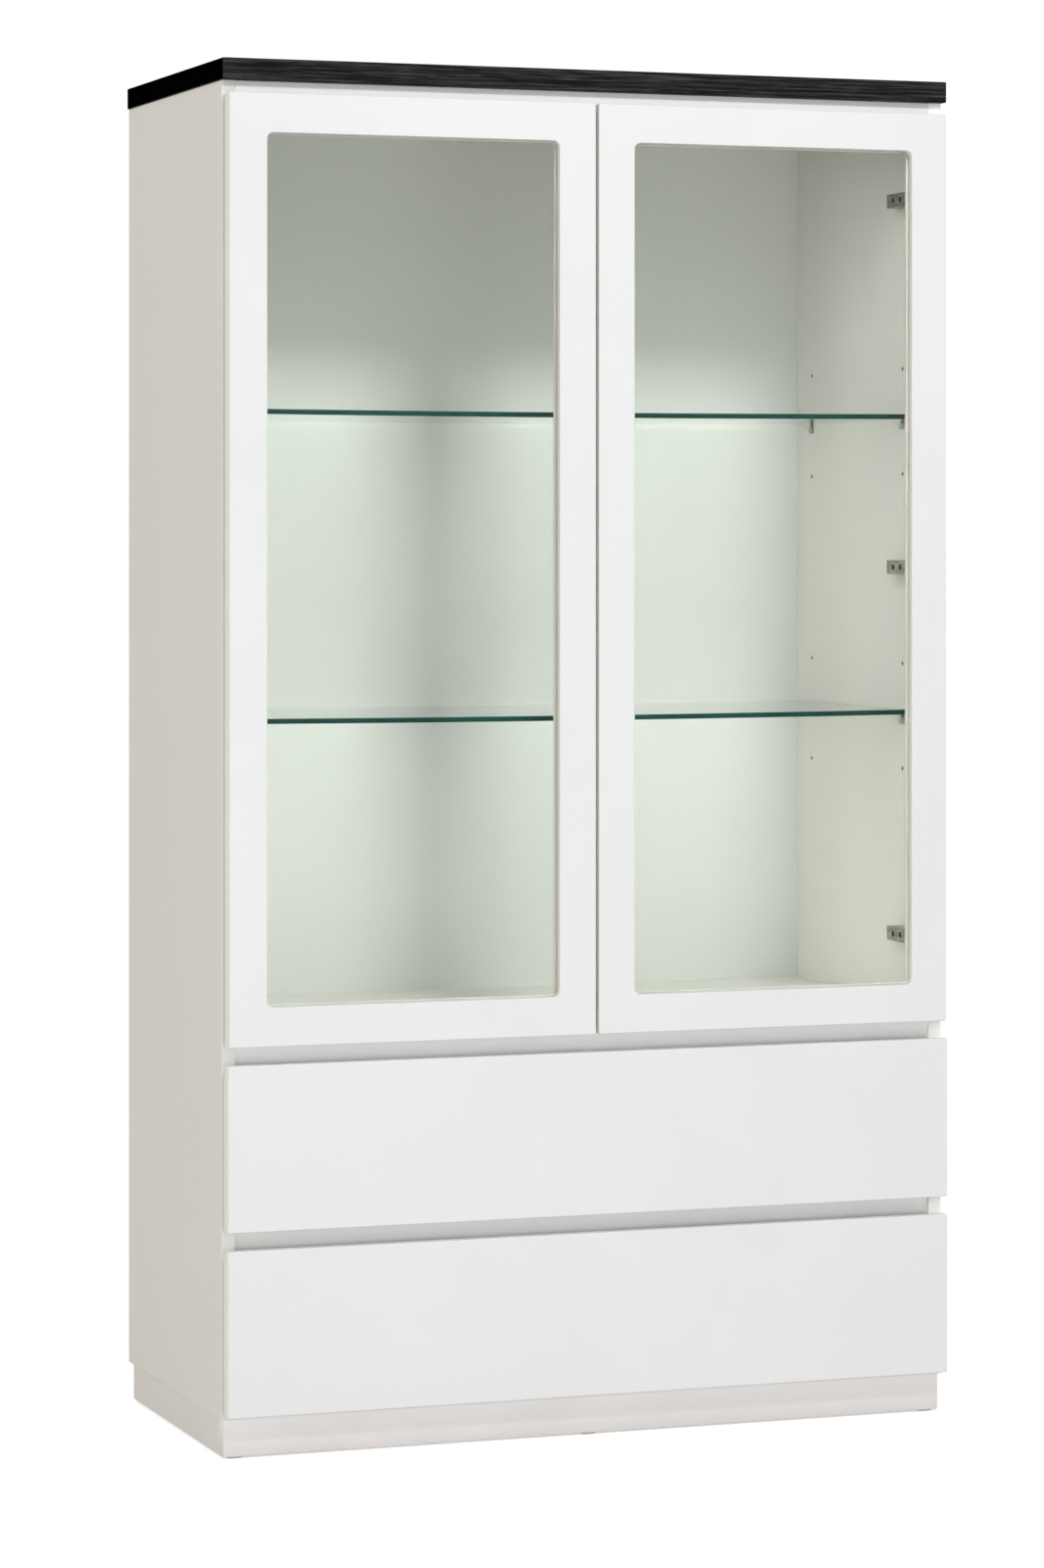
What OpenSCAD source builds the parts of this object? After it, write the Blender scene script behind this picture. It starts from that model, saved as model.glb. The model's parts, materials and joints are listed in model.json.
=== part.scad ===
// China cabinet with two glazed doors over two handleless drawers.
// X runs to the right, Y to the back and Z up; the origin is the middle of the footprint.
// All of the fronts close against the carcass, and their faces lie at y = -cabinet_d / 2.

/* [Cabinet] */
// Height from the floor to the top of the black board
cabinet_h = 1600; // [1500:10:1700]
// Width across the outer faces of the side panels
carcass_w = 900; // [800:10:1000]
// Depth from the face of the doors to the back edge of the sides
cabinet_d = 430; // [430:5:500]
// How far the black board stands out at each side
top_overhang = 2; // [0:1:10]
// How far the black board's front edge lies behind the doors' face
top_setback = 10; // [0:1:15]

/* [Boards] */
// Thickness of the side, floor and bottom panels and the grip rails
board_t = 16; // [15:1:19]
// Thickness of the carcass top panel under the black board
carcass_top_t = 22; // [18:1:25]
// Thickness of the black top board
black_top_t = 25; // [18:1:30]
// Thickness of the back panels
back_t = 3; // [3:0.5:6]
// How far the back panels lie in from the rear edges of the sides
back_inset = 1; // [1:0.5:2]
// Width of the rebates that take the back panels
back_rebate = 6; // [5:1:8]
// Spacing of the nails that hold the back panels
nail_pitch = 110; // [80:10:150]

/* [Plinth] */
// Height of the plinth rails
plinth_h = 43; // [35:1:80]
// Thickness of the plinth rails
plinth_t = 19; // [16:1:22]
// Setback of the front plinth rail from the front edge of the sides
plinth_front_inset = 3; // [3:1:40]
// Setback of the rear plinth rail from the rear edge of the sides
plinth_back_inset = 12; // [3:1:40]
// Setback of the side plinth rails from the outer faces of the sides
plinth_side_inset = 3; // [0:1:15]
// Height of the glides under the plinth
glide_h = 2; // [2:0.5:5]
// Radius of a glide
glide_r = 9; // [6:0.5:9]

/* [Fronts] */
// Thickness of the door frames and drawer fronts
front_t = 19; // [18:1:22]
// Gap between the fronts and the carcass, filled by the bumpers
bumper_gap = 3; // [2:0.5:3]
// Height of each drawer front
drawer_front_h = 190; // [180:5:220]
// Height of the lowest edge of the drawer fronts above the plinth
front_drop = 5; // [3:1:8]
// Height of each finger gap above a drawer front
finger_gap = 21; // [18:1:26]
// White edge of the carcass that shows between the doors and the black board
top_reveal = 15; // [12:1:18]
// Side gap between the outer face of the carcass and the doors
door_side_gap = 3; // [2:0.5:4]
// Side gap between the outer face of the carcass and the drawer fronts
drawer_side_gap = 1.5; // [1:0.5:3]
// Gap between the two doors
door_gap = 4; // [3:0.5:6]

/* [Doors] */
// Width of the door frame around its window
frame_border = 45; // [45:1:60]
// Radius of the window's corners
window_r = 8; // [4:1:12]
// Depth of the glass behind the face of the frame
glass_setback = 9.5; // [8:0.5:10]
// Thickness of the door glass
door_glass_t = 4; // [3:0.5:5]
// Width of the rebate that takes the glass and its bead
rebate_w = 6; // [5:0.5:6]
// Free play of the glass inside its rebate
glass_play = 0.5; // [0.2:0.1:1]

/* [Shelves] */
// Height of the underside of the lower and of the upper glass shelf
shelf_z = [837, 1196];
// Thickness of the glass shelves
shelf_t = 6; // [5:1:8]
// Gap between a shelf and each side panel
shelf_side_gap = 2; // [1:0.5:3]
// Setback of a shelf's front edge from the front edge of the sides
shelf_front_inset = 60; // [50:1:90]
// Gap between a shelf and the back panel
shelf_back_gap = 4; // [2:1:10]
// Radius of the shelf-pin holes
pin_r = 2.5; // [2.5:0.5:3]
// Depth of the shelf-pin holes
pin_depth = 10; // [8:1:12]
// Height between a shelf pin and the spare holes above and below it
pin_pitch = 64; // [32:32:64]
// Places of the two rows of shelf pins along the depth
pin_rows = [-115, 165];

/* [Drawers] */
// Depth of a drawer box behind its front
box_d = 400; // [350:10:400]
// Height of a drawer box
box_h = 130; // [100:5:130]
// Height of a drawer box's lower edge above its front's lower edge
box_rise = 23; // [20:1:28]
// Thickness of a drawer's sides and back
box_t = 12; // [12:1:15]
// Thickness of a drawer's bottom
box_bottom_t = 6; // [4:1:8]
// Depth of the grooves that hold a drawer's bottom
box_groove = 5; // [4:1:6]
// Height of a drawer's bottom above the lower edge of its sides
bottom_rise = 10; // [8:1:15]

/* [Runners] */
// Space between a side panel and a drawer side, which the runner fills
runner_space = 13; // [13:0.1:13.5]
// Height of the fixed rail
runner_h = 45; // [45:1:46]
// Thickness of the steel of the rails
rail_t = 1.2; // [1:0.1:1.5]
// Height of the runner's middle above the lower edge of the drawer box
runner_rise = 45; // [40:1:60]
// Running clearance between the ball cages and the rails
cage_play = 0.1; // [0.1:0.05:0.2]

/* [Hinges] */
// Distance of the upper and lower hinges from the ends of the door
hinge_inset = 99; // [80:1:130]
// Radius of the hinge cup
cup_r = 17.5; // [17.5:0.5:17.5]
// Depth of the hinge cup in the door
cup_depth = 12; // [12:0.5:12.5]
// Distance of the cup's centre from the door's outer edge
cup_edge = 20.5; // [20.5:0.5:21]
// Radius of the hinge pin
hinge_pin_r = 1.25; // [1:0.05:1.3]
// Running clearance between the hinge pin and its arm
hinge_play = 0.05; // [0.03:0.01:0.08]
// Width of the arm's tongue, along the pin
tongue_w = 12; // [10:1:12]

/* [Hidden] */
$fn = 48;

// Colours
lacquer = [0.93, 0.93, 0.92];
melamine = [0.86, 0.85, 0.82];
black_ash = [0.13, 0.13, 0.14];
clear_glass = [0.75, 0.85, 0.80, 0.35];
shelf_glass = [0.35, 0.60, 0.55, 0.5];
steel = [0.74, 0.75, 0.76];
clear_plastic = [0.85, 0.88, 0.88, 0.6];
grey_felt = [0.45, 0.44, 0.43];

// Depth planes, from the front to the back
face_y = -cabinet_d / 2;
front_back_y = face_y + front_t;
carcass_y = front_back_y + bumper_gap;
rear_y = cabinet_d / 2;
back_y = rear_y - back_inset - back_t;

// Widths
half_w = carcass_w / 2;
inner_x = half_w - board_t;
door_edge_x = half_w - door_side_gap;
drawer_edge_x = half_w - drawer_side_gap;

// Heights, from the floor up
plinth_top = glide_h + plinth_h;
lower_front_z = plinth_top + front_drop;
upper_front_z = lower_front_z + drawer_front_h + finger_gap;
floor_z = upper_front_z + drawer_front_h + finger_gap;
door_z = floor_z;
carcass_top = cabinet_h - black_top_t;
door_top = carcass_top - top_reveal;
top_panel_z = carcass_top - carcass_top_t;
back_joint_z = floor_z + board_t / 2;

// Places of the hinges up a door
hinge_zs = [door_z + hinge_inset, (door_z + door_top) / 2, door_top - hinge_inset];
cup_x = door_edge_x - cup_edge;
// The pivot lies inside the cup, so the opened door swings out in front of the side panel
pivot_in = 7;
pivot_deep = 8.5;
pivot_x = door_edge_x - pivot_in;
pivot_y = front_back_y - pivot_deep;
pin_reach = 9;
// Mounting plate and arm
plate_t = 2.5;
plate_y = carcass_y + 37;
plate_screw_z = 16;
wing = [8, 26];
arm_reach = 20;
arm_half_w = 8.5;
arm_t = 1.5;
arm_y = [carcass_y + 7, carcass_y + 80];
adjuster_r = 3.8;
adjuster_ys = [carcass_y + 41, carcass_y + 62];
tongue_t = 2.2;
eye_r = 2.2;
// Screws of the hinge cup, either side of it
cup_screw_z = 22.5;
cup_screw_in = 9.5;
cup_screw_r = 1.75;
flange_t = 1.2;

// Places of the cam locks: distance in from the panel's end, and the two rows
cam_in = 34;
cam_r = 7.5;
cam_h = 12.5;
cam_bolt_r = 3.5;
cam_bolt_grip = 11;
cam_rows = [-150, 150];

// The bumpers are a hair thinner than the gap that they fill
bumper_t = bumper_gap - 0.1;
bumper_r = 3;

// Runner: places across its thickness, from the side panel towards the drawer
rail_y = [carcass_y + 3, carcass_y + 3 + box_d - 4];
middle_w = 3;
inner_w = 5.5;
middle_half_h = 16.5;
inner_half_h = 10;

// ---- Shared shapes -------------------------------------------------------------------

// A box between two x, two y and two z values
module block(x, y, z) {
    translate([x[0], y[0], z[0]])
        cube([x[1] - x[0], y[1] - y[0], z[1] - z[0]]);
}

// Its children on the right side and mirrored on the left
module both_sides() {
    children();
    mirror([1, 0, 0]) children();
}

// Extrudes an outline drawn in y and z along x
module along_x(x) {
    translate([x[0], 0, 0]) rotate([90, 0, 90]) linear_extrude(x[1] - x[0]) children();
}

// Extrudes an outline drawn in x and z along y
module along_y(y) {
    translate([0, y[1], 0]) rotate([90, 0, 0]) linear_extrude(y[1] - y[0]) children();
}

// A cylinder along x from one value to another
module rod_x(x, y, z, r) {
    translate([x[0], y, z]) rotate([0, 90, 0]) cylinder(h = x[1] - x[0], r = r);
}

// A cylinder along y from one value to another
module rod_y(x, y, z, r) {
    translate([x, y[1], z]) rotate([90, 0, 0]) cylinder(h = y[1] - y[0], r = r);
}

// A rectangle with round corners between two x and two z values
module round_rect(x, z, r) {
    translate([x[0] + r, z[0]]) square([x[1] - x[0] - 2 * r, z[1] - z[0]]);
    translate([x[0], z[0] + r]) square([x[1] - x[0], z[1] - z[0] - 2 * r]);
    for (cx = [x[0] + r, x[1] - r], cz = [z[0] + r, z[1] - r])
        translate([cx, cz]) circle(r);
}

// One side of a strip along a line of points: each point moved by d across the line
function strip_side(points, d) = [
    for (i = [0 : len(points) - 1])
        let (
            before = points[max(i, 1)] - points[max(i, 1) - 1],
            after = points[min(i + 1, len(points) - 1)] - points[min(i, len(points) - 2)],
            a = before / norm(before),
            b = after / norm(after),
            mitre = [-a[1] - b[1], a[0] + b[0]]
        )
        points[i] + 2 * d * mitre / (mitre * mitre)
];

// A strip of even thickness along a line of points, with mitred bends
module bent_strip(points, t) {
    polygon(concat(
        strip_side(points, t / 2),
        [for (i = [len(points) - 1 : -1 : 0]) strip_side(points, -t / 2)[i]]
    ));
}

// ---- Carcass -------------------------------------------------------------------------

// Holes of the cam bolts in a side panel, for one horizontal panel
module cam_bolt_holes(panel_z) {
    for (y = cam_rows)
        rod_x([inner_x, inner_x + cam_bolt_grip], y, panel_z, cam_bolt_r);
}

module side_panel() {
    difference() {
        block([inner_x, half_w], [carcass_y, rear_y], [plinth_top, carcass_top]);
        block([inner_x - 1, inner_x + back_rebate], [back_y, rear_y + 1],
            [plinth_top - 1, carcass_top + 1]);
        for (z = shelf_z, y = pin_rows, step = [-1, 0, 1])
            rod_x([inner_x, inner_x + pin_depth], y, z - pin_r + step * pin_pitch, pin_r);
        for (z = hinge_zs, side = [-1, 1])
            rod_x([inner_x, inner_x + 11], plate_y, z + side * plate_screw_z, 2.5);
        for (z = [plinth_top, floor_z, top_panel_z]) cam_bolt_holes(z + board_t / 2);
    }
}

module left_side_panel() { color(melamine) mirror([1, 0, 0]) side_panel(); }
module right_side_panel() { color(melamine) side_panel(); }

// A horizontal panel between the sides, bored from below for its cam locks
module cross_panel(z, t, back) {
    difference() {
        block([-inner_x, inner_x], [carcass_y, back], [z, z + t]);
        both_sides() for (y = cam_rows) {
            translate([inner_x - cam_in, y, z]) cylinder(h = cam_h, r = cam_r);
            rod_x([inner_x - cam_in, inner_x], y, z + board_t / 2, cam_bolt_r);
        }
    }
}

module carcass_top_panel() {
    color(melamine) difference() {
        cross_panel(top_panel_z, carcass_top_t, rear_y);
        block([-inner_x - 1, inner_x + 1], [back_y, rear_y + 1],
            [top_panel_z - 1, top_panel_z + back_rebate]);
    }
}

module cabinet_floor_panel() { color(melamine) cross_panel(floor_z, board_t, back_y); }
module carcass_bottom_panel() { color(melamine) cross_panel(plinth_top, board_t, back_y); }

module black_top_board() {
    color(black_ash)
        block([-half_w - top_overhang, half_w + top_overhang],
            [face_y + top_setback, rear_y], [carcass_top, cabinet_h]);
}

// A thin panel in the rebates, its nails driven through it into the boards
module back_panel(z) {
    color(melamine)
        block([-inner_x - back_rebate, inner_x + back_rebate], [back_y, back_y + back_t], z);
}

module upper_back_panel() { back_panel([back_joint_z, top_panel_z + back_rebate]); }
module lower_back_panel() { back_panel([plinth_top, back_joint_z]); }

// A rail behind a finger gap: flush with the carcass at its top and leaning back below
grip_lean = 14;
module grip_rail(z) {
    color(lacquer) along_x([-inner_x, inner_x])
        polygon([
            [carcass_y + grip_lean, z[0]], [carcass_y + grip_lean + board_t, z[0]],
            [carcass_y + board_t, z[1]], [carcass_y, z[1]],
        ]);
}

module upper_grip_rail() { grip_rail([floor_z - 48, floor_z]); }
module middle_grip_rail() { grip_rail([upper_front_z - 43, upper_front_z + 7]); }

// ---- Plinth --------------------------------------------------------------------------

plinth_x = half_w - plinth_side_inset;
plinth_front_y = carcass_y + plinth_front_inset;
plinth_back_y = rear_y - plinth_back_inset;
plinth_z = [glide_h, plinth_top];

module plinth_front_rail() {
    color(lacquer)
        block([-plinth_x, plinth_x], [plinth_front_y, plinth_front_y + plinth_t], plinth_z);
}

module plinth_back_rail() {
    color(melamine)
        block([-plinth_x, plinth_x], [plinth_back_y - plinth_t, plinth_back_y], plinth_z);
}

module plinth_side_rail() {
    color(melamine)
        block([plinth_x - plinth_t, plinth_x],
            [plinth_front_y + plinth_t, plinth_back_y - plinth_t], plinth_z);
}

module plinth_left_rail() { mirror([1, 0, 0]) plinth_side_rail(); }
module plinth_right_rail() { plinth_side_rail(); }

module floor_glides() {
    ys = [plinth_front_y + plinth_t / 2, plinth_back_y - plinth_t / 2];
    color(grey_felt) for (side = [-1, 0, 1], y = ys)
        translate([side * (plinth_x - 15), y, 0]) cylinder(h = glide_h, r = glide_r);
}

// ---- Glass shelves -------------------------------------------------------------------

module glass_shelf(z) {
    color(shelf_glass)
        block([-inner_x + shelf_side_gap, inner_x - shelf_side_gap],
            [carcass_y + shelf_front_inset, back_y - shelf_back_gap], [z, z + shelf_t]);
}

module lower_glass_shelf() { glass_shelf(shelf_z[0]); }
module upper_glass_shelf() { glass_shelf(shelf_z[1]); }

// A clear support: a pin, a plate against the side panel and a tab under the shelf
module shelf_support(y, z) {
    rod_x([inner_x - 1, inner_x + pin_depth], y, z - pin_r, pin_r);
    block([inner_x - 2.5, inner_x], [y - 6, y + 6], [z - 12, z]);
    block([inner_x - 14, inner_x], [y - 6, y + 6], [z - 2.5, z]);
    along_y([y - 1, y + 1])
        polygon([[inner_x - 12, z - 2], [inner_x - 2, z - 11], [inner_x - 2, z - 2]]);
}

module shelf_supports() {
    color(clear_plastic) both_sides()
        for (z = shelf_z, y = pin_rows) shelf_support(y, z);
}

// ---- Fittings ------------------------------------------------------------------------

cam_zs = [plinth_top, floor_z, top_panel_z];

module cam_locks() {
    color(steel) both_sides() for (z = cam_zs, y = cam_rows)
        difference() {
            translate([inner_x - cam_in, y, z]) cylinder(h = cam_h, r = cam_r);
            rod_x([inner_x - cam_in - 2, inner_x], y, z + board_t / 2, cam_bolt_r);
            for (turn = [0, 90]) translate([inner_x - cam_in, y, z]) rotate(turn)
                cube([8, 1.6, 4], center = true);
        }
}

module cam_bolts() {
    color(steel) both_sides() for (z = cam_zs, y = cam_rows)
        rod_x([inner_x - cam_in - 2, inner_x + cam_bolt_grip], y, z + board_t / 2, cam_bolt_r);
}

// A flat-headed nail driven forwards through the back panel
module back_nail(x, z) {
    rod_y(x, [back_y - 12, rear_y - 0.5], z, 0.8);
    rod_y(x, [back_y + back_t, rear_y - 0.2], z, 2);
}

module back_nails() {
    side_zs = [plinth_top + 30 : nail_pitch : top_panel_z];
    cross_xs = [-inner_x + 44 : nail_pitch : inner_x];
    color(steel) {
        for (x = [-inner_x - back_rebate / 2, inner_x + back_rebate / 2], z = side_zs)
            back_nail(x, z);
        for (x = cross_xs, z = [plinth_top + 8, back_joint_z - 4, back_joint_z + 4,
            top_panel_z + back_rebate / 2]) back_nail(x, z);
    }
}

// ---- Hinges on the carcass -----------------------------------------------------------

plate_x = inner_x - plate_t;
arm_x = inner_x - arm_reach;

// A cross-shaped plate with a raised saddle that the arm clips over
module hinge_plate(z) {
    difference() {
        union() {
            block([plate_x, inner_x], [arm_y[0] + 4, arm_y[1]], [z - 7, z + 7]);
            block([plate_x, inner_x], [plate_y - wing[0], plate_y + wing[0]],
                [z - wing[1], z + wing[1]]);
            block([inner_x - 11, inner_x], [plate_y - 18, plate_y + 30], [z - 6.5, z + 6.5]);
        }
        for (side = [-1, 1])
            rod_x([plate_x - 1, inner_x + 1], plate_y, z + side * plate_screw_z, 2.5);
    }
}

// A channel over the plate, with a cranked tongue that ends in the eye round the pin
module hinge_arm(z) {
    channel_top = [arm_x, arm_x + arm_t];
    difference() {
        union() {
            block(channel_top, arm_y, [z - arm_half_w, z + arm_half_w]);
            for (side = [-1, 1])
                translate([0, 0, z + side * (arm_half_w - arm_t / 2)])
                    block([arm_x, inner_x - plate_t], arm_y, [-arm_t / 2, arm_t / 2]);
            translate([0, 0, z - tongue_w / 2]) linear_extrude(tongue_w) {
                bent_strip([
                    [arm_x + arm_t / 2, arm_y[0] + 14], [door_edge_x - 29, arm_y[0] + 4],
                    [door_edge_x - 25, front_back_y + 2], [door_edge_x - 21.5, front_back_y - 6],
                    [door_edge_x - 17, pivot_y], [pivot_x, pivot_y],
                ], tongue_t);
                translate([pivot_x, pivot_y]) circle(eye_r);
            }
        }
        translate([pivot_x, pivot_y, z - tongue_w])
            cylinder(h = 2 * tongue_w, r = hinge_pin_r + hinge_play);
        for (y = adjuster_ys)
            rod_x([arm_x - 1, arm_x + arm_t], y, z, adjuster_r);
    }
}

// A screw of the arm, with a slot in its head
module hinge_adjuster(y, z) {
    difference() {
        union() {
            rod_x([arm_x - 0.6, arm_x + arm_t], y, z, adjuster_r);
            rod_x([arm_x + arm_t, inner_x - 11], y, z, 2);
        }
        for (turn = [45, 135]) translate([arm_x - 0.6, y, z]) rotate([turn, 0, 0])
            cube([1.6, 0.9, 4.6], center = true);
    }
}

module hinge_plate_screw(z) {
    difference() {
        union() {
            rod_x([plate_x, inner_x + 11], plate_y, z, 2.5);
            rod_x([plate_x - 1.5, plate_x], plate_y, z, 4);
        }
        for (turn = [45, 135]) translate([plate_x - 1.5, plate_y, z]) rotate([turn, 0, 0])
            cube([1.6, 1, 5], center = true);
    }
}

module hinge_plates() { color(steel) both_sides() for (z = hinge_zs) hinge_plate(z); }
module hinge_arms() { color(steel) both_sides() for (z = hinge_zs) hinge_arm(z); }

module hinge_adjusters() {
    color(steel) both_sides() for (z = hinge_zs, y = adjuster_ys) hinge_adjuster(y, z);
}

module hinge_plate_screws() {
    color(steel) both_sides() for (z = hinge_zs, side = [-1, 1])
        hinge_plate_screw(z + side * plate_screw_z);
}

// ---- Doors, drawn for the right side -------------------------------------------------

door_x = [door_gap / 2, door_edge_x];
window_x = [door_x[0] + frame_border, door_x[1] - frame_border];
window_z = [door_z + frame_border, door_top - frame_border];
glass_y = [face_y + glass_setback, face_y + glass_setback + door_glass_t];

// The window's outline, grown by a margin all round
module window_outline(margin, r) {
    round_rect([window_x[0] - margin, window_x[1] + margin],
        [window_z[0] - margin, window_z[1] + margin], r);
}

module door_frame() {
    color(lacquer) difference() {
        block(door_x, [face_y, front_back_y], [door_z, door_top]);
        along_y([face_y - 1, front_back_y + 1]) window_outline(0, window_r);
        along_y([face_y + glass_setback, front_back_y + 1]) window_outline(rebate_w, window_r);
        for (z = hinge_zs) {
            rod_y(cup_x, [front_back_y - cup_depth, front_back_y + 1], z, cup_r);
            for (side = [-1, 1])
                rod_y(cup_x - cup_screw_in, [front_back_y - 11, front_back_y + 1],
                    z + side * cup_screw_z, cup_screw_r);
        }
    }
}

module door_glass() {
    color(clear_glass) along_y(glass_y) window_outline(rebate_w - glass_play, window_r - 1);
}

module glazing_bead() {
    color(lacquer) along_y([glass_y[1], front_back_y]) difference() {
        window_outline(rebate_w, window_r);
        window_outline(-1, window_r);
    }
}

// A pressed cup with a winged flange, open in the middle for the arm's tongue
module hinge_cup(z) {
    slot_w = tongue_w + 0.3;
    floor_y = front_back_y - cup_depth + 0.8;
    difference() {
        union() {
            rod_y(cup_x, [front_back_y - cup_depth, front_back_y + flange_t], z, cup_r);
            along_y([front_back_y, front_back_y + flange_t])
                round_rect([cup_x - 17, cup_x - 3], [z - 27, z + 27], 6);
        }
        block([cup_x - 14, door_edge_x], [floor_y, front_back_y + 2],
            [z - slot_w / 2, z + slot_w / 2]);
        intersection() {
            rod_y(cup_x, [floor_y, front_back_y + 2], z, cup_r - 1.2);
            block([cup_x - cup_r, pivot_x - 5], [floor_y, front_back_y + 2],
                [z - cup_r, z + cup_r]);
        }
        translate([pivot_x, pivot_y, z - pin_reach])
            cylinder(h = 2 * pin_reach, r = hinge_pin_r);
        for (side = [-1, 1])
            rod_y(cup_x - cup_screw_in, [front_back_y - 1, front_back_y + 2],
                z + side * cup_screw_z, cup_screw_r);
    }
}

module hinge_cups() { color(steel) for (z = hinge_zs) hinge_cup(z); }

module hinge_pins() {
    color(steel) for (z = hinge_zs) translate([pivot_x, pivot_y, z - pin_reach])
        cylinder(h = 2 * pin_reach, r = hinge_pin_r);
}

module cup_screws() {
    color(steel) for (z = hinge_zs, side = [-1, 1]) {
        rod_y(cup_x - cup_screw_in, [front_back_y - 11, front_back_y + flange_t],
            z + side * cup_screw_z, cup_screw_r);
        rod_y(cup_x - cup_screw_in, [front_back_y + flange_t, front_back_y + 2.2],
            z + side * cup_screw_z, 3.2);
    }
}

// Near the opening edge, against the carcass top panel and the compartment floor
module door_bumpers() {
    color(clear_plastic) for (z = [door_z + 8, door_top - bumper_r - 0.5])
        rod_y(door_x[0] + 22, [front_back_y, front_back_y + bumper_t], z, bumper_r);
}

module left_door_frame() { mirror([1, 0, 0]) door_frame(); }
module left_door_glass() { mirror([1, 0, 0]) door_glass(); }
module left_glazing_bead() { mirror([1, 0, 0]) glazing_bead(); }
module left_hinge_cups() { mirror([1, 0, 0]) hinge_cups(); }
module left_hinge_pins() { mirror([1, 0, 0]) hinge_pins(); }
module left_cup_screws() { mirror([1, 0, 0]) cup_screws(); }
module left_door_bumpers() { mirror([1, 0, 0]) door_bumpers(); }
module right_door_frame() { door_frame(); }
module right_door_glass() { door_glass(); }
module right_glazing_bead() { glazing_bead(); }
module right_hinge_cups() { hinge_cups(); }
module right_hinge_pins() { hinge_pins(); }
module right_cup_screws() { cup_screws(); }
module right_door_bumpers() { door_bumpers(); }

// ---- Drawers; z is the lower edge of the drawer's front ------------------------------

box_x = inner_x - runner_space;
box_inner_x = box_x - box_t;
box_y = [front_back_y, front_back_y + box_d];
finger_chamfer = [6, 14];

module drawer_bottom(z) {
    bottom_z = z + box_rise + bottom_rise;
    color(melamine) block([-box_inner_x - box_groove, box_inner_x + box_groove],
        [box_y[0] - box_groove, box_y[1] - box_t + box_groove],
        [bottom_z, bottom_z + box_bottom_t]);
}

// The front's rear top edge is cut back so that fingers reach over it
module drawer_front(z) {
    top = z + drawer_front_h;
    color(lacquer) difference() {
        along_x([-drawer_edge_x, drawer_edge_x]) polygon([
            [face_y, z], [front_back_y, z], [front_back_y, top - finger_chamfer[1]],
            [front_back_y - finger_chamfer[0], top], [face_y, top],
        ]);
        drawer_bottom(z);
    }
}

module drawer_side(z) {
    box_z = z + box_rise;
    color(melamine) difference() {
        block([box_inner_x, box_x], box_y, [box_z, box_z + box_h]);
        drawer_bottom(z);
    }
}

module drawer_back(z) {
    box_z = z + box_rise;
    color(melamine) difference() {
        block([-box_inner_x, box_inner_x], [box_y[1] - box_t, box_y[1]],
            [box_z, box_z + box_h]);
        drawer_bottom(z);
    }
}

module drawer_bumpers(z) {
    color(clear_plastic) both_sides() for (h = [z + 12, z + drawer_front_h - 30])
        rod_y(half_w - board_t / 2, [front_back_y, front_back_y + bumper_t], h, bumper_r);
}

module upper_drawer_front() { drawer_front(upper_front_z); }
module upper_drawer_left_side() { mirror([1, 0, 0]) drawer_side(upper_front_z); }
module upper_drawer_right_side() { drawer_side(upper_front_z); }
module upper_drawer_back() { drawer_back(upper_front_z); }
module upper_drawer_bottom() { drawer_bottom(upper_front_z); }
module upper_drawer_bumpers() { drawer_bumpers(upper_front_z); }
module lower_drawer_front() { drawer_front(lower_front_z); }
module lower_drawer_left_side() { mirror([1, 0, 0]) drawer_side(lower_front_z); }
module lower_drawer_right_side() { drawer_side(lower_front_z); }
module lower_drawer_back() { drawer_back(lower_front_z); }
module lower_drawer_bottom() { drawer_bottom(lower_front_z); }
module lower_drawer_bumpers() { drawer_bumpers(lower_front_z); }

// ---- Runners -------------------------------------------------------------------------
// Outlines are drawn in w, the distance from the side panel, and z about the runner's middle

module runner(z, y) {
    mid_z = z + box_rise + runner_rise;
    color(steel) both_sides() translate([inner_x, 0, mid_z]) mirror([1, 0, 0])
        along_y(y) children();
}

// A channel with its web at one w and flanges that reach to another
module channel(web_w, flange_w, half_h) {
    web = web_w < flange_w ? [web_w, web_w + rail_t] : [web_w - rail_t, web_w];
    translate([web[0], -half_h]) square([rail_t, 2 * half_h]);
    for (z = [-half_h, half_h - rail_t])
        translate([min(web_w, flange_w), z]) square([abs(flange_w - web_w), rail_t]);
}

module fixed_rails(z) {
    runner(z, rail_y) {
        channel(0, 9.5, runner_h / 2);
        for (side = [-1, 1])
            translate([8.3, side * (runner_h / 2 - 2) - 0.9]) square([rail_t, 1.8]);
    }
}

module middle_rails(z) {
    runner(z, [rail_y[0] + 2, rail_y[1] - 4]) channel(middle_w, 10.5, middle_half_h);
}

module inner_rails(z) {
    runner(z, [rail_y[0] + 1, rail_y[1] - 2]) channel(runner_space, inner_w, inner_half_h);
}

// Strips that hold the balls between the rails, above and below each
module ball_cages(z) {
    outer_room = [middle_half_h, runner_h / 2 - rail_t];
    inner_room = [inner_half_h, middle_half_h - rail_t];
    runner(z, [rail_y[0] + 6, rail_y[1] - 8]) for (side = [-1, 1]) scale([1, side]) {
        translate([middle_w, outer_room[0]])
            square([4.5, outer_room[1] - outer_room[0] - cage_play]);
        translate([inner_w, inner_room[0] + cage_play])
            square([4, inner_room[1] - inner_room[0] - cage_play]);
    }
}

module upper_fixed_rails() { fixed_rails(upper_front_z); }
module lower_fixed_rails() { fixed_rails(lower_front_z); }
module upper_middle_rails() { middle_rails(upper_front_z); }
module lower_middle_rails() { middle_rails(lower_front_z); }
module upper_ball_cages() { ball_cages(upper_front_z); }
module lower_ball_cages() { ball_cages(lower_front_z); }
module upper_inner_rails() { inner_rails(upper_front_z); }
module lower_inner_rails() { inner_rails(lower_front_z); }

// ---- Drawing -------------------------------------------------------------------------

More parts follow.
